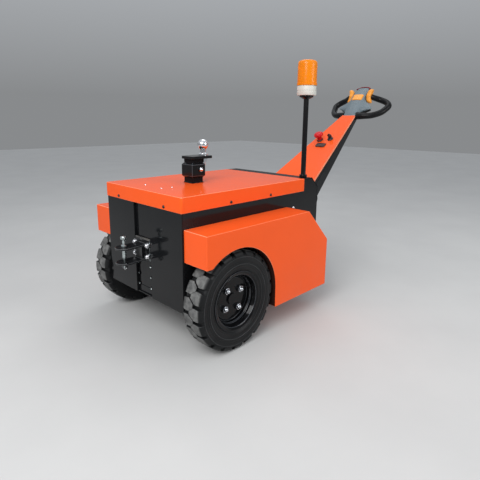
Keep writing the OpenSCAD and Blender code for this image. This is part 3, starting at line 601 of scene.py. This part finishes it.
def pan_head(shape, place, d, h):
    """A small domed head."""
    r = d / 2
    profile = [(0, 1), (0.5, 0.92), (0.85, 0.6), (1, 0.1), (1, 0), (0, 0)]
    shape.lathe(place, [(r * out, h * up) for out, up in profile], 20)


class Dressing:
    """What the operators of the pieces share: execute gives make the settings and the shared looks."""

    def execute(self, context):
        s = context.scene.tug
        self.make(s, kit(s))
        return {"FINISHED"}


class TUG_OT_stage(bpy.types.Operator):
    """Makes the floor, the lamps, the world and the camera"""

    bl_idname = "tug.stage"
    bl_label = "Studio and camera"

    floor_half = 12.0
    # Name, place, diameter and power
    lamps = [
        ("key_lamp", (-3.0, -1.2, 2.7), 2.4, 102.0),
        ("side_lamp", (0.8, -3.6, 1.9), 2.0, 42.0),
        ("top_lamp", (0.6, 0.6, 3.6), 2.4, 25.0),
    ]
    lamp_aim = (0, 0, 0.5)
    # Place of the camera in the vehicle's frame, and the directions of its right and its top
    camera_place = (-922.47, -1470.0, 911.87)
    camera_right, camera_up = (0.69917, -0.71490, 0.00954), (0.14897, 0.15871, 0.97602)

    def execute(self, context):
        scene = context.scene
        scene.view_settings.view_transform = "Standard"
        half = self.floor_half
        mesh = bpy.data.meshes.new("studio_floor")
        mesh.from_pydata([(x, y, 0) for x, y in rectangle(-half, half, -half, half)], [], [(0, 1, 2, 3)])
        look = finished("studio_floor", (0.53, 0.527, 0.518), (0.50, 0.497, 0.49), 2, 0.75, 0.85, 60, 0,
                        specular=0.5)
        mesh.materials.append(look)
        floor = bpy.data.objects.new("studio_floor", mesh)
        scene.collection.objects.link(floor)
        for lamp in self.lamps:
            self.light(scene, *lamp)
        self.sky(scene)
        self.camera(scene)
        return {"FINISHED"}

    def sky(self, scene):
        """A world that is dim near the horizon and bright overhead."""
        world = bpy.data.worlds.new("studio_world")
        scene.world = world
        world.use_nodes = True
        w = Wiring(world.node_tree)
        rise = w.axes(w.node("ShaderNodeTexCoord")["Generated"])[2]
        tone = w.mix(w.remap(rise, 0.05, 0.6), (0.33, 0.34, 0.35, 1), (0.80, 0.84, 0.89, 1))
        back = world.node_tree.nodes["Background"]
        w.join(tone, back.inputs["Color"])
        back.inputs["Strength"].default_value = 0.75

    def light(self, scene, name, place, size, power):
        data = bpy.data.lights.new(name, "AREA")
        data.shape, data.size, data.energy = "DISK", size, power
        lamp = bpy.data.objects.new(name, data)
        aim = Vector(self.lamp_aim) - Vector(place)
        lamp.matrix_world = shift(*place) @ aim.to_track_quat("-Z", "Y").to_matrix().to_4x4()
        scene.collection.objects.link(lamp)

    def camera(self, scene):
        data = bpy.data.cameras.new("photo_camera")
        data.lens, data.sensor_width, data.shift_y = 31.28, 36.0, -0.05625
        camera = bpy.data.objects.new("photo_camera", data)
        right, up = Vector(self.camera_right), Vector(self.camera_up)
        turn = Matrix((right, up, right.cross(up))).transposed().to_4x4()
        camera.matrix_world = Matrix.Translation(VEHICLE @ Vector(self.camera_place)) @ turn
        scene.collection.objects.link(camera)
        scene.camera = camera


class TUG_OT_body(Dressing, bpy.types.Operator):
    """Paints the body's sheet metal and rounds its bent edges"""

    bl_idname = "tug.body"
    bl_label = "Body, lid and fenders"

    # The painted shade inside a fender, in metres: its reach behind the axle, how far it stays from the
    # fender's front, outer face and top, and how far it passes the inner face
    arch_reach, front_wall, outer_wall, top_wall, inner_gap = 0.249, 0.005, 0.0026, 0.006, 0.01

    def make(self, s, looks):
        # The bent edges of the lid and the fenders carry a painted highlight
        dress(looks["orange"], s.bend * 0.4, "lid", edge_highlight=looks["orange_edge_highlight"], clamp=False)
        low, high = box("fender_left")
        end = joint_place("wheel_left_spin").x + self.arch_reach
        painted_shade_box = ((low.x + self.front_wall, low.y - self.inner_gap, 0.0),
                  (end, high.y - self.outer_wall, high.z - self.top_wall))
        # The fenders' insides take painted shade
        fender = orange_paint("orange_fender_paint_and_shade", s, specular=0.16, inside=painted_shade_box)
        dress(fender, s.bend * 0.6, "fender_left", "fender_right", edge_highlight=looks["orange_edge_highlight"])
        dress(looks["black"], s.bend * 0.5, "front_panels", "side_panels", "mast_plate")
        dress(looks["dull_black"], s.bend * 0.5, "rear_cover")
        dress(looks["black"], s.bend * 0.3, "floor_pan")
        dress(looks["battery"], 0.003, "batteries")
        dress(looks["cast"], 0.003, "drive_unit")


class TUG_OT_fasteners(Dressing, bpy.types.Operator):
    """Sets the screws in the lid's flange, on the lid and in the body's side"""

    bl_idname = "tug.fasteners"
    bl_label = "Screws and bolts"

    # Screws in the lid's flange: height, distance to each side on the front, places along the sides
    flange_z, front_y, side_x = 584, 166, (252, 502)
    # Screw in each wall of the body: place along it and height
    wall_x, wall_z = 679, 500
    # Small screws on the lid: place along it and across it
    lid_screws = [(77.6, 79.7), (70.3, -49.3), (121, -52.9)]

    def make(self, s, looks):
        low, high = corners("lid")
        wall = corners("side_panels")[1].y
        d, h = s.screw / MM, 4
        dark, bright = Shape(), Shape()
        for side, edge in ((-1, low.y), (1, high.y)):
            aside = facing((0, side, 0))
            front = shift(low.x, side * self.front_y, self.flange_z) @ facing((-1, 0, 0))
            button_head(dark, VEHICLE @ front, d, h)
            for x in self.side_x:
                button_head(dark, VEHICLE @ shift(x, edge, self.flange_z) @ aside, d, h)
            pan_head(bright, VEHICLE @ shift(self.wall_x, side * wall, self.wall_z) @ aside, 13, 6)
        for x, y in self.lid_screws:
            pan_head(bright, VEHICLE @ shift(x, y, high.z), 8, 3)
        dark.piece("lid_flange_screws", looks["bolt"], "chassis", "switch_black")
        bright.piece("bright_screws", looks["chrome"], "chassis", "chrome")


class TUG_OT_tyres(Dressing, bpy.types.Operator):
    """Makes the two lugged drive tyres"""

    bl_idname = "tug.tyres"
    bl_label = "Drive tyres"

    # Half profile of the casing from the bead over the sidewall to the tread's middle: radius, distance out
    casing = [
        (104.5, 21.5), (110.3, 37.3), (124.4, 43), (125.5, 45), (128, 46.6), (132, 48.6), (134, 50.3),
        (137, 50.5), (139, 49.9), (146, 52.2), (152, 52.2), (153.2, 53.3), (155.4, 53.3), (156.6, 52.2),
        (162.5, 52), (163.7, 53), (165.8, 53), (167, 51.8), (176, 52.3), (184.5, 51.9), (185.3, 52.8),
        (186.6, 52.8), (187.4, 51.6), (190.2, 49.8), (193.6, 45.2), (195.6, 39), (196.3, 30), (196.4, 20),
        (196.4, 0)
    ]
    # Thin raised lines on the sidewall, and a line's section round that place: radius, distance out
    lines = [(154.3, 53.4), (182.6, 52.0)]
    line_section = [(-0.8, -0.8), (0.8, -0.8), (0.5, 0.4), (-0.5, 0.4)]
    # Rows of one lug: distance out and radius of its face, then of its foot, and its edges round the tread
    lug_rows = [
        (-8.6, 207.2, -8.6, 195, -10, 6.2), (2, 207.3, 2, 195, -17.6, 14.6),
        (11.8, 207.3, 11.8, 195, -25.2, 20.8), (16.5, 207.3, 16.5, 195, -25.2, 25.2),
        (26, 207.2, 26, 195, -24.9, 24.9), (36, 206.9, 34, 194, -24.5, 24.5),
        (42.6, 205.4, 38, 192, -24.2, 24.2), (47, 202.6, 41.5, 189.5, -24, 24),
        (49.9, 198.6, 43.6, 187, -23.6, 23.6), (51.6, 194.2, 44.6, 186, -23.4, 23.4),
        (52.3, 190.6, 46, 185.5, -23.2, 23.2), (52.5, 188, 48, 185, -23, 23),
        (52, 186.6, 50, 185, -22.8, 22.8)
    ]
    # Radius at which a lug's edges are measured, and how far its inner end stands out at its foot
    tread_r, end_reach = 207.0, 1.4
    # A lug's soft edges: width on the face and on the wall, share of the height where they start
    soft_run, soft_start = 1.6, 0.86

    def make(self, s, looks):
        steps = 144
        for side in ("left", "right"):
            place, body = wheel_frame(side), "wheel_" + side
            tyre, lines = Shape(), Shape()
            mirrored = [(r, -z) for r, z in self.casing[-2::-1]]
            tyre.lathe(place, self.casing + mirrored, steps, closed=True)
            pitch = 2 * math.pi / s.lugs
            for i in range(s.lugs):
                self.lug(tyre, place, i * pitch, 1)
                self.lug(tyre, place, (i + 0.5) * pitch, -1)
            look = tyre_rubber("tyre_rubber_" + side, body + "_spin", 0.2045, 0.2066, s)
            tyre.piece("lugged_tyre_" + side, look, body, "tyre", ("tyre_" + side,), sharp=28)
            for r, z in self.lines:
                lines.lathe(place, [(r + a, z + b) for a, b in self.line_section], steps, closed=True)
            lines.piece("sidewall_lines_" + side, looks["ring"], body, "tyre")

    def lug(self, shape, place, angle, row):
        """One block: each row of points climbs one wall, crosses the face and goes down the other wall."""
        rings = []
        run, start = self.soft_run, self.soft_start
        for out, top, foot_out, foot, left, right in self.lug_rows:
            points = []
            for x, lift in ((left - run, 0), (left, start), (left + run, 1), ((left + right) / 2, 1),
                            (right - run, 1), (right, start), (right + run, 0)):
                r = foot + (top - foot) * lift
                z = foot_out + (out - foot_out) * lift
                a = angle + row * x / self.tread_r
                points.append((r * math.cos(a), r * math.sin(a), row * z))
            rings.append(points)
        foot = self.lug_rows[0][3]
        end = [(x * foot / math.hypot(x, y), y * foot / math.hypot(x, y), z - row * self.end_reach)
               for x, y, z in rings[0]]
        shape.loft(place, [end] + rings)


class TUG_OT_wheels(Dressing, bpy.types.Operator):
    """Finishes the rims, hubs and wheel nuts and adds the valves"""

    bl_idname = "tug.wheels"
    bl_label = "Rims, hubs and nuts"

    # Circle of the four nuts: radius, angle of the first nut; then distance out of the hub's face
    nut_circle, nut_angle, hub_face = 53, 37, 8
    # Washer under each nut: radius, height over the hub's face
    washer = [(8.8, 0.1), (14.6, 0.1), (15, 0.5), (15, 1.6), (14.6, 2), (13.9, 2), (13.9, 0.4), (8.8, 0.4)]
    # Valve: radius, height over its foot; then place of the foot, its angle round the axle, the valve's lean
    valve = [(0, 0), (7.5, 0), (7.5, 2), (5, 5), (4.2, 12), (3.6, 13), (3.6, 22), (4.2, 22.5), (4.2, 30),
             (3, 32), (0, 32)]
    valve_place, valve_angle, valve_lean = (94, 0, 4), 20, (-0.25, 0, 1)

    def make(self, s, looks):
        for side in ("left", "right"):
            body, place = "wheel_" + side, wheel_frame(side)
            # The rim's edges carry a painted highlight
            dress(looks["rim"], 0.001, "rim_" + side, edge_highlight=looks["rim_edge_highlight"])
            dress(looks["rim"], 0.0015, "hub_" + side)
            dress(looks["nut"], 0.0006, "wheel_nuts_" + side)
            washers, valve = Shape(), Shape()
            for k in range(4):
                a = math.radians(self.nut_angle + 90 * k)
                nut = Vector((math.cos(a), 0, math.sin(a))) * self.nut_circle * MM
                away = place.inverted() @ (joint_place(body + "_spin") + nut)
                washers.lathe(place @ shift(away.x, away.y, self.hub_face), self.washer, 32, closed=True)
            washers.piece("nut_washers_" + side, looks["rim"], body, "chrome")
            turn = Matrix.Rotation(math.radians(self.valve_angle), 4, "Z")
            valve.lathe(place @ turn @ shift(*self.valve_place) @ facing(self.valve_lean), self.valve, 20)
            valve.piece("valve_" + side, looks["grip"], body, "grip_rubber")


class TUG_OT_coupling(Dressing, bpy.types.Operator):
    """Finishes the jaw, its nuts, the drop pin and the clip"""

    bl_idname = "tug.coupling"
    bl_label = "Coupling"

    # Wire end of the clip: distance out, height; then distance before the pin's middle, and radius
    tail = [(-1, 309), (6, 311), (13, 315), (20, 321)]
    tail_out, tail_r = 2, 1.5
    # Free holes of the mast plate: distance to each side, heights, radius out to the middle of the rim
    hole_y, hole_z, rim_r = 45.0, (210.0, 258.0, 306.0), 9.2
    # A painted glint on the part of a rim that catches the light: angles along it, distance before the plate,
    # radius
    lit, lit_out, lit_r = range(-48, -7, 5), 1, 1.7
    # Thickness of the jaw's plate; width, front and back of a bright strip that is its painted edge
    # highlight, distance to the plate's ends
    plate_t, edge_w, edge_front, edge_back, edge_in = 10.0, 3.0, 0.7, 0.1, 1.6

    def make(self, s, looks):
        # The jaw's edges carry a painted highlight
        dress(looks["iron"], 0.0016, "coupling_jaw", edge_highlight=looks["iron_edge_highlight"], clamp=False)
        dress(looks["chrome"], 0.0006, "coupling_bolts")
        dress(looks["zinc"], 0.0008, "drop_pin")
        dress(looks["iron"], 0.0005, "pin_clip")
        wires, rims, strip = Shape(), Shape(), Shape()
        low, high = corners("pin_clip")
        x = (low.x + high.x) / 2 - self.tail_out
        for side in (-1, 1):
            wires.tube(VEHICLE, [Vector((x, side * y, z)) for y, z in self.tail], self.tail_r, 10)
        wires.piece("clip_tails", looks["chrome"], "chassis", "zinc")
        # Bright arcs on the lit side of the free holes' rims, as painted glints
        x, r = corners("mast_plate")[0].x - self.lit_out, self.rim_r
        for z in self.hole_z:
            for y in (-self.hole_y, self.hole_y):
                rims.tube(VEHICLE, [Vector((x, y + r * math.cos(a), z + r * math.sin(a)))
                                    for a in map(math.radians, self.lit)], self.lit_r, 8)
        rims.piece("hole_rim_glints", looks["zinc"], "chassis", "body_black")
        # A thin bright strip along the jaw plate's edge, as a painted highlight
        low, high = corners("coupling_jaw")
        x, y = high.x - self.plate_t, low.y + self.edge_in
        outline = rectangle(x - self.edge_front, x - self.edge_back, y, y + self.edge_w)
        strip.prism(VEHICLE, outline, low.z + self.edge_in, high.z - self.edge_in)
        strip.piece("plate_edge_highlight", looks["zinc"], "chassis", "body_black")


class TUG_OT_tow_post(Dressing, bpy.types.Operator):
    """Finishes the tow post, its sleeve, plate and ball"""

    bl_idname = "tug.tow_post"
    bl_label = "Tow post and ball"

    # Thickness of the ball's plate, and gap between it or the sleeve and the neck
    ball_plate_t, gap = 12.0, 0.2
    # Weld round the post's foot: radius, height of its middle, depth and pace of its waves, steps to a side
    bead_r, bead_z, wave, pace, steps = 3.2, 1.2, 0.35, 40, 14

    def make(self, s, looks):
        dress(looks["dull_black"], 0.002, "tow_post")
        # The edges of the sleeve and the ball's plate carry a painted highlight
        dress(looks["black"], 0.002, "tow_sleeve", "ball_plate", edge_highlight=looks["rim_edge_highlight"])
        dress(looks["chrome"], 0, "tow_ball")
        dress(looks["chrome"], 0.0006, "post_bolt")
        low, high = corners("tow_post")
        outline = rectangle(low.x, high.x, low.y, high.y)
        neck, bead = Shape(), Shape()
        neck.prism(VEHICLE, outline, corners("tow_sleeve")[1].z + self.gap,
                   corners("ball_plate")[1].z - self.ball_plate_t - self.gap)
        neck.piece("post_neck", looks["dull_black"], "chassis", "body_black", bevel=0.002)
        ring = [Vector((x, y, low.z + self.bead_z)) for x, y in outline]
        for start, end in zip(ring, ring[1:] + ring[:1]):
            path = [start.lerp(end, k / self.steps) for k in range(self.steps + 1)]
            bead.tube(VEHICLE, path, lambda t: self.bead_r + self.wave * math.sin(self.pace * t), 10)
        bead.piece("post_weld_bead", looks["black"], "chassis", "body_black")


class TUG_OT_beacon(Dressing, bpy.types.Operator):
    """Finishes the beacon's pole and makes its foot, ribbed lens and lamp"""

    bl_idname = "tug.beacon"
    bl_label = "Beacon"

    # The lens's flange and foot: distance in from its radius, height
    flange = [(7, 0.2), (-0.6, 0.2), (-0.6, 12.4), (0, 13.2), (1.4, 13.6)]
    # The lens's dome: distance in from its radius, depth below its top
    dome = [(1.6, 22), (2.2, 15), (4.4, 8.6), (9.5, 4.2), (18, 1.4), (29, 0.2)]
    # Section of a rib, which widens towards the lamp
    rib = [(-1.6, -1.7), (1.6, -0.8), (1.6, 0.8), (-1.6, 1.7)]
    # The lamp: radius and height of its foot; radius of its top and depth below the lens's top
    lamp_foot, lamp_top = [(0, 3), (24, 3), (24, 8), (15, 10)], [(15, 44), (17, 40), (12, 30), (0, 27)]
    # Height of the base's groove, as a share of the base's height
    groove = 0.42

    def make(self, s, looks):
        dress(looks["black"], 0.0008, "beacon_pole")
        low, high = corners("beacon_lens")
        x, y = (low.x + high.x) / 2, (low.y + high.y) / 2
        r, h = (high.x - low.x) / 2, high.z - low.z
        place = VEHICLE @ shift(x, y, low.z)
        shell, ribs, core, base = Shape(), Shape(), Shape(), Shape()
        dome = [(r - a, h - b) for a, b in self.dome] + [(0, h)]
        shell.lathe(place, [(r - a, z) for a, z in self.flange] + dome, 72)
        shell.piece("beacon_shell", looks["lens"], "chassis", "beacon_amber", ("beacon_lens",))
        for k in range(s.ribs):
            turn = Matrix.Rotation(2 * math.pi * k / s.ribs, 4, "Z")
            ribs.prism(place @ turn @ shift(r - 9.5, 0, 0), self.rib, 4, h - 22)
        ribs.piece("lens_ribs", looks["glow"], "chassis", "beacon_amber")
        core.lathe(place, self.lamp_foot + [(a, h - b) for a, b in self.lamp_top], 40)
        core.piece("lamp_core", looks["glow"], "chassis", "beacon_amber")
        low, high = corners("beacon_base")
        b, h = r - 1, high.z - low.z
        z = h * self.groove
        base.lathe(VEHICLE @ shift(x, y, low.z), [
            (0, 0.1), (b - 5, 0.1), (b - 2, 1), (b - 0.2, 4), (b - 0.3, z), (b - 1.6, z + 1.2),
            (b - 1.6, z + 3), (b - 0.4, z + 4.2), (b - 0.8, h - 2), (b - 1.8, h - 0.2), (0, h - 0.2)], 72)
        base.piece("beacon_foot", looks["white"], "chassis", "beacon_white", ("beacon_base",))


class TUG_OT_caster(Dressing, bpy.types.Operator):
    """Finishes the swivel caster"""

    bl_idname = "tug.caster"
    bl_label = "Caster"

    def make(self, s, looks):
        dress(looks["zinc"], 0.001, "caster_plate", "caster_fork")
        dress(tyre_rubber("caster_rubber", "caster_spin", 0.094, 0.0995, s), 0.0015, "caster_wheel")


class TUG_OT_tiller(Dressing, bpy.types.Operator):
    """Finishes the tiller's arm, cover, bracket and pivot"""

    bl_idname = "tug.tiller"
    bl_label = "Tiller arm"

    def make(self, s, looks):
        dress(looks["black"], 0.0018, "tiller_arm", "tiller_bracket")
        # The cover's sides and bent edges carry a painted highlight
        dress(looks["cover"], s.bend * 0.4, "tiller_cover", edge_highlight=looks["orange_edge_highlight"], clamp=False)
        dress(looks["zinc"], 0.001, "tiller_pivot")


class TUG_OT_console(Dressing, bpy.types.Operator):
    """Moulds the console, its horn pad and the switch round its nose"""

    bl_idname = "tug.console"
    bl_label = "Console"

    # Stations up the head: distance, half width, crown, edge height, edge underside, middle underside
    stations = [
        (-15, 45, 27, 22, 20, 18), (-6, 46, 29.5, 19, 12, 10), (8, 48, 31, 12, -6, -8),
        (24, 52, 32, 8, -16, -24), (36, 58, 32.6, 6, -20, -31), (45, 68, 33, 5, -22, -34),
        (52, 84, 33, 4, -23, -36), (58, 100, 33, 3, -23, -37), (63, 112, 33, 2.5, -23, -38),
        (68, 119, 33, 2, -23, -39), (72, 121, 33, 2, -23, -39.5), (77, 118, 33, 2.5, -23, -40),
        (84, 110, 33, 3.5, -23, -41), (92, 99, 33, 5, -22, -42), (102, 85, 33, 7.5, -22, -42.5),
        (112, 73, 33, 9, -23, -43), (120, 66, 33, 9, -26, -43.4), (128, 59.5, 32.8, 8, -29, -43.4),
        (136, 54, 32.2, 6, -31, -43.4), (146, 49.5, 31.6, 0, -34, -43), (156, 47.4, 31, -4, -35, -42.5),
        (176, 46.6, 29.6, -4, -36, -41.5), (206, 46, 25, -8, -36, -40), (228, 45.4, 19.5, -12, -36, -38.5),
        (238, 44, 15.5, -14, -34, -37), (244, 41, 11, -16, -32, -35), (248, 35, 5, -18, -29, -32)
    ]
    # The crown over the middle: distance out, drop below the crown, with the crease at the last row
    saddle = [(0, 0), (12, 0), (23, 0.6), (32, 3), (40, 6.2), (47, 9)]
    # The wing outside the crease: share of its width, share of its drop
    wing = [(0.33, 0.42), (0.66, 0.74), (0.94, 0.95), (1.0, 1.06)]
    # Half the route of the switch round the nose: distance up the head, distance out
    nose = [(226, 47.4), (238, 46.4), (246, 42.5), (250, 34), (251.5, 18), (252, 0)]

    def ring(self, h, half, crown, edge, under, belly):
        """One closed section across the head, from the right edge over the crown and back below."""
        full, drop = self.saddle[-1]
        crease = min(full, half)
        sink = 1 if crown > edge + drop else 0
        top = [(y * crease / full, crown - fall * sink) for y, fall in self.saddle]
        start = top[-1][1]
        top += [(crease + (half - crease) * out, start + (edge - start) * fall) for out, fall in self.wing]
        # The underside is a little narrower than the top
        bottom = [(y * 0.985, belly + (under - belly) * (y / half) ** 2) for y, z in top]
        upper = [(h, -y, z) for y, z in top[:0:-1]] + [(h, y, z) for y, z in top]
        lower = [(h, y, z) for y, z in bottom[::-1]] + [(h, -y, z) for y, z in bottom[1:]]
        return upper + lower

    def ground(self, h, y):
        """Height of the console's crown at a place on the head."""
        return between(self.stations, h, 2) - between(self.saddle, abs(y))

    def horn(self, shape):
        """A low pad that follows the console's crown, with round corners and a soft rim."""
        low, high, wide, corner = 115.0, 166.0, 37.0, 7.0
        thick, rim_t, slope = 4.2, 1.0, 3
        rows, columns = 16, 9
        rings = []
        for i in range(rows + 1):
            h = low + (high - low) * i / rows
            gap = min(h - low, high - h)
            half = wide - corner + math.sqrt(corner ** 2 - max(0.0, corner - gap) ** 2)
            face, back = [], []
            for y in (half * k / columns for k in range(-columns, columns + 1)):
                rim = min(1.0, gap / slope, (half - abs(y)) / slope)
                swell = math.sqrt(max(0.0, 1 - (1 - rim) ** 2))
                face.append((h, y, self.ground(h, y) + rim_t + (thick - rim_t) * swell))
                back.append((h, y, self.ground(h, y) + 0.2))
            rings.append(face + back[::-1])
        shape.loft(HEAD, rings)

    def nose_switch(self, shape):
        """A thin band that wraps round the nose's rounded end and grows deeper away from its two ends."""
        rise, drop, depth, more, grow = 7.0, 1.0, 6, 24, 5
        inwards, outwards = 4.6, 1.8
        path = smooth_curve([(x, -y, 0) for x, y in self.nose] + [(x, y, 0) for x, y in self.nose[-2::-1]], 4)
        rings = []
        for i, point in enumerate(path):
            along = heading(path, i)
            out = Vector((along.y, -along.x, 0))
            grown = min(1.0, min(i, len(path) - 1 - i) / grow)
            top = self.ground(point.x, point.y) + rise
            low = top - depth - more * grown
            inner, outer = point - out * inwards, point + out * outwards
            rings.append([(inner.x, inner.y, top), (outer.x, outer.y, top - drop), (outer.x, outer.y, low),
                          (inner.x, inner.y, low)])
        shape.loft(HEAD, rings)

    def make(self, s, looks):
        shell, base, pad, band = Shape(), Shape(), Shape(), Shape()
        rings, lower = [], []
        for h, half, crown, edge, under, belly in self.stations:
            # Along its middle the console is a thin shell over a darker and narrower base
            mid = 20 < h < 150
            rings.append(self.ring(h, half, crown, edge, *((edge - 5, -9) if mid else (under, belly))))
            if mid:
                lower.append(self.ring(h, half * 0.9, -7, min(edge - 5.5, -3.5), under, belly))
        shell.loft(HEAD, rings)
        base.loft(HEAD, lower)
        self.horn(pad)
        self.nose_switch(band)
        shell.piece("console_shell", looks["grey"], "tiller", "console_grey", ("console",), 50, 0.002)
        base.piece("console_base", looks["grip"], "tiller", "switch_black", (), 50, 0.002)
        pad.piece("horn_pad", looks["knob"], "tiller", "control_yellow", ("horn_bar",), 60)
        band.piece("nose_switch", looks["dark_red"], "tiller", "red_plastic", ("belly_switch",), 50, 0.0007)


class TUG_OT_grips(Dressing, bpy.types.Operator):
    """Makes the two hand loops and the throttle knobs"""

    bl_idname = "tug.grips"
    bl_label = "Hand loops and knobs"

    # Route of each loop's centre: distance up the head, distance out, height over its face
    route = [
        (0, 42, 6), (6, 90, 0), (22, 132, -14), (62, 172, -34), (105, 190, -47), (138, 195.5, -52),
        (165, 170, -50), (178, 126, -38), (174, 94, -14), (174, 76, -2)
    ]
    # Knobs: place up the head and over its face, angle to it, distances out of their inner and outer faces
    knob_h, knob_up, knob_deg, knob_in, knob_out = 174.0, 4, 26, 47.5, 80.0

    def thick(self, share):
        """Radius of the loop: flared at the console, a little thinner at the knob."""
        plain, flare, thin, part = 19.4, 5.2, 2.4, 0.2
        return plain + flare * max(0.0, 1 - share / part) ** 1.5 - thin * max(0.0, (share - 1 + part) / part)

    def knob(self, shape, side):
        """A rocker whose two ends bend away from the console."""
        place = HEAD @ shift(self.knob_h, 0, 0) @ tilt(self.knob_deg) @ shift(0, 0, self.knob_up)
        # Radius at the ends, half length, radius of the round middle and share of it, bend of the ends
        lobe, length, waist, part, turn = 17.0, 47.0, 22, 0.94, 15
        rings = []
        steps = 26
        for i in range(steps + 1):
            # A little short of the very ends, where a section would have no height
            x = length * math.sin(math.pi * (i / steps - 0.5)) * 0.9995
            past = max(0.0, abs(x) - (length - lobe))
            high = math.sqrt(lobe ** 2 - past ** 2)
            if abs(x) < waist:
                high = max(high, part * math.sqrt(waist ** 2 - x ** 2))
            bend = turn * (abs(x) / length) ** 2
            inner, outer = self.knob_in + bend, self.knob_out + 0.75 * bend
            middle, reach = (inner + outer) / 2, (outer - inner) / 2 * (high / lobe if past else 1) ** 0.5
            rings.append([(x, side * (middle + reach * math.copysign(abs(c) ** 0.6, c)),
                           high * math.copysign(abs(s) ** 0.7, s)) for c, s in circle(24)])
        shape.loft(place, rings)

    def make(self, s, looks):
        loops, knobs = Shape(), Shape()
        for side in (-1, 1):
            path = smooth_curve([(h, side * y, n) for h, y, n in self.route], 8)
            loops.tube(HEAD, path, self.thick, 28)
            self.knob(knobs, side)
        loops.piece("hand_loops", looks["grip"], "tiller", "grip_rubber", ("grip_loops",))
        knobs.piece("throttle_rockers", looks["knob"], "tiller", "control_yellow", ("throttle_knobs",), 50)


class TUG_OT_controls(Dressing, bpy.types.Operator):
    """Finishes the stop button, key switch and charge meter and adds a collar, a ring and a window"""

    bl_idname = "tug.controls"
    bl_label = "Controls on the cover"

    # Places in the arm's frame: foot of the stop button, hole of the key's head, middle of the meter's foot
    stop_place, key_hole, meter_place = (474, 44, 61.6), (490, -22, 91.6), (418, 6, 61.6)
    # Collar under the stop button: radius, height
    collar = [(15.2, 0.3), (19, 0.3), (18.4, 6.5), (17, 8), (15.2, 8)]
    # Key ring: radius, radius of its wire, the way in which it hangs
    ring_r, wire_r, hang = 10.0, 1.3, (0, -0.6, -0.8)
    # Meter's window, paler as a painted reflection: half its length and width, heights of its foot and face
    window_half, window_z = (10.6, 23.6), (4.55, 5.3)

    def make(self, s, looks):
        dress(looks["red"], 0.0012, "stop_button")
        dress(looks["switch"], 0.001, "key_switch", "charge_meter")
        collar, ring, window = Shape(), Shape(), Shape()
        collar.lathe(ARM @ shift(*self.stop_place), self.collar, 36, closed=True)
        collar.piece("stop_collar", looks["switch"], "tiller", "switch_black")
        down, across = Vector(self.hang), Vector((1, 0, 0))
        centre = Vector(self.key_hole) + down * self.ring_r
        loop = [centre + (across * s - down * c) * self.ring_r for c, s in circle(32)]
        ring.tube(ARM, loop + loop[:1], self.wire_r, 10)
        ring.piece("key_ring", looks["bolt"], "tiller", "switch_black")
        (x, y, z), (a, b), (foot, face) = self.meter_place, self.window_half, self.window_z
        window.prism(ARM, rectangle(x - a, x + a, y - b, y + b), z + foot, z + face)
        window.piece("meter_window_reflection", looks["window"], "tiller", "switch_black")


PIECES = (
    TUG_OT_stage, TUG_OT_body, TUG_OT_fasteners, TUG_OT_tyres, TUG_OT_wheels, TUG_OT_coupling,
    TUG_OT_tow_post, TUG_OT_beacon, TUG_OT_caster, TUG_OT_tiller, TUG_OT_console, TUG_OT_grips,
    TUG_OT_controls
)


class TUG_PT_panel(bpy.types.Panel):
    """Lists the pieces and their settings"""

    bl_idname = "TUG_PT_panel"
    bl_label = "Tow Tug"
    bl_space_type = "VIEW_3D"
    bl_region_type = "UI"
    bl_category = "Tow Tug"

    def draw(self, context):
        for piece in PIECES:
            self.layout.operator(piece.bl_idname)
        for key in TugSettings.__annotations__:
            self.layout.prop(context.scene.tug, key)


CLASSES = (TugSettings, *PIECES, TUG_PT_panel)


def register():
    for item in CLASSES:
        bpy.utils.register_class(item)
    bpy.types.Scene.tug = PointerProperty(type=TugSettings)


def unregister():
    del bpy.types.Scene.tug
    for item in reversed(CLASSES):
        bpy.utils.unregister_class(item)


def main():
    """Registers the add-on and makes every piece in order."""
    register()
    for piece in PIECES:
        group, call = piece.bl_idname.split(".")
        getattr(getattr(bpy.ops, group), call)()


if __name__ == "__main__":
    main()
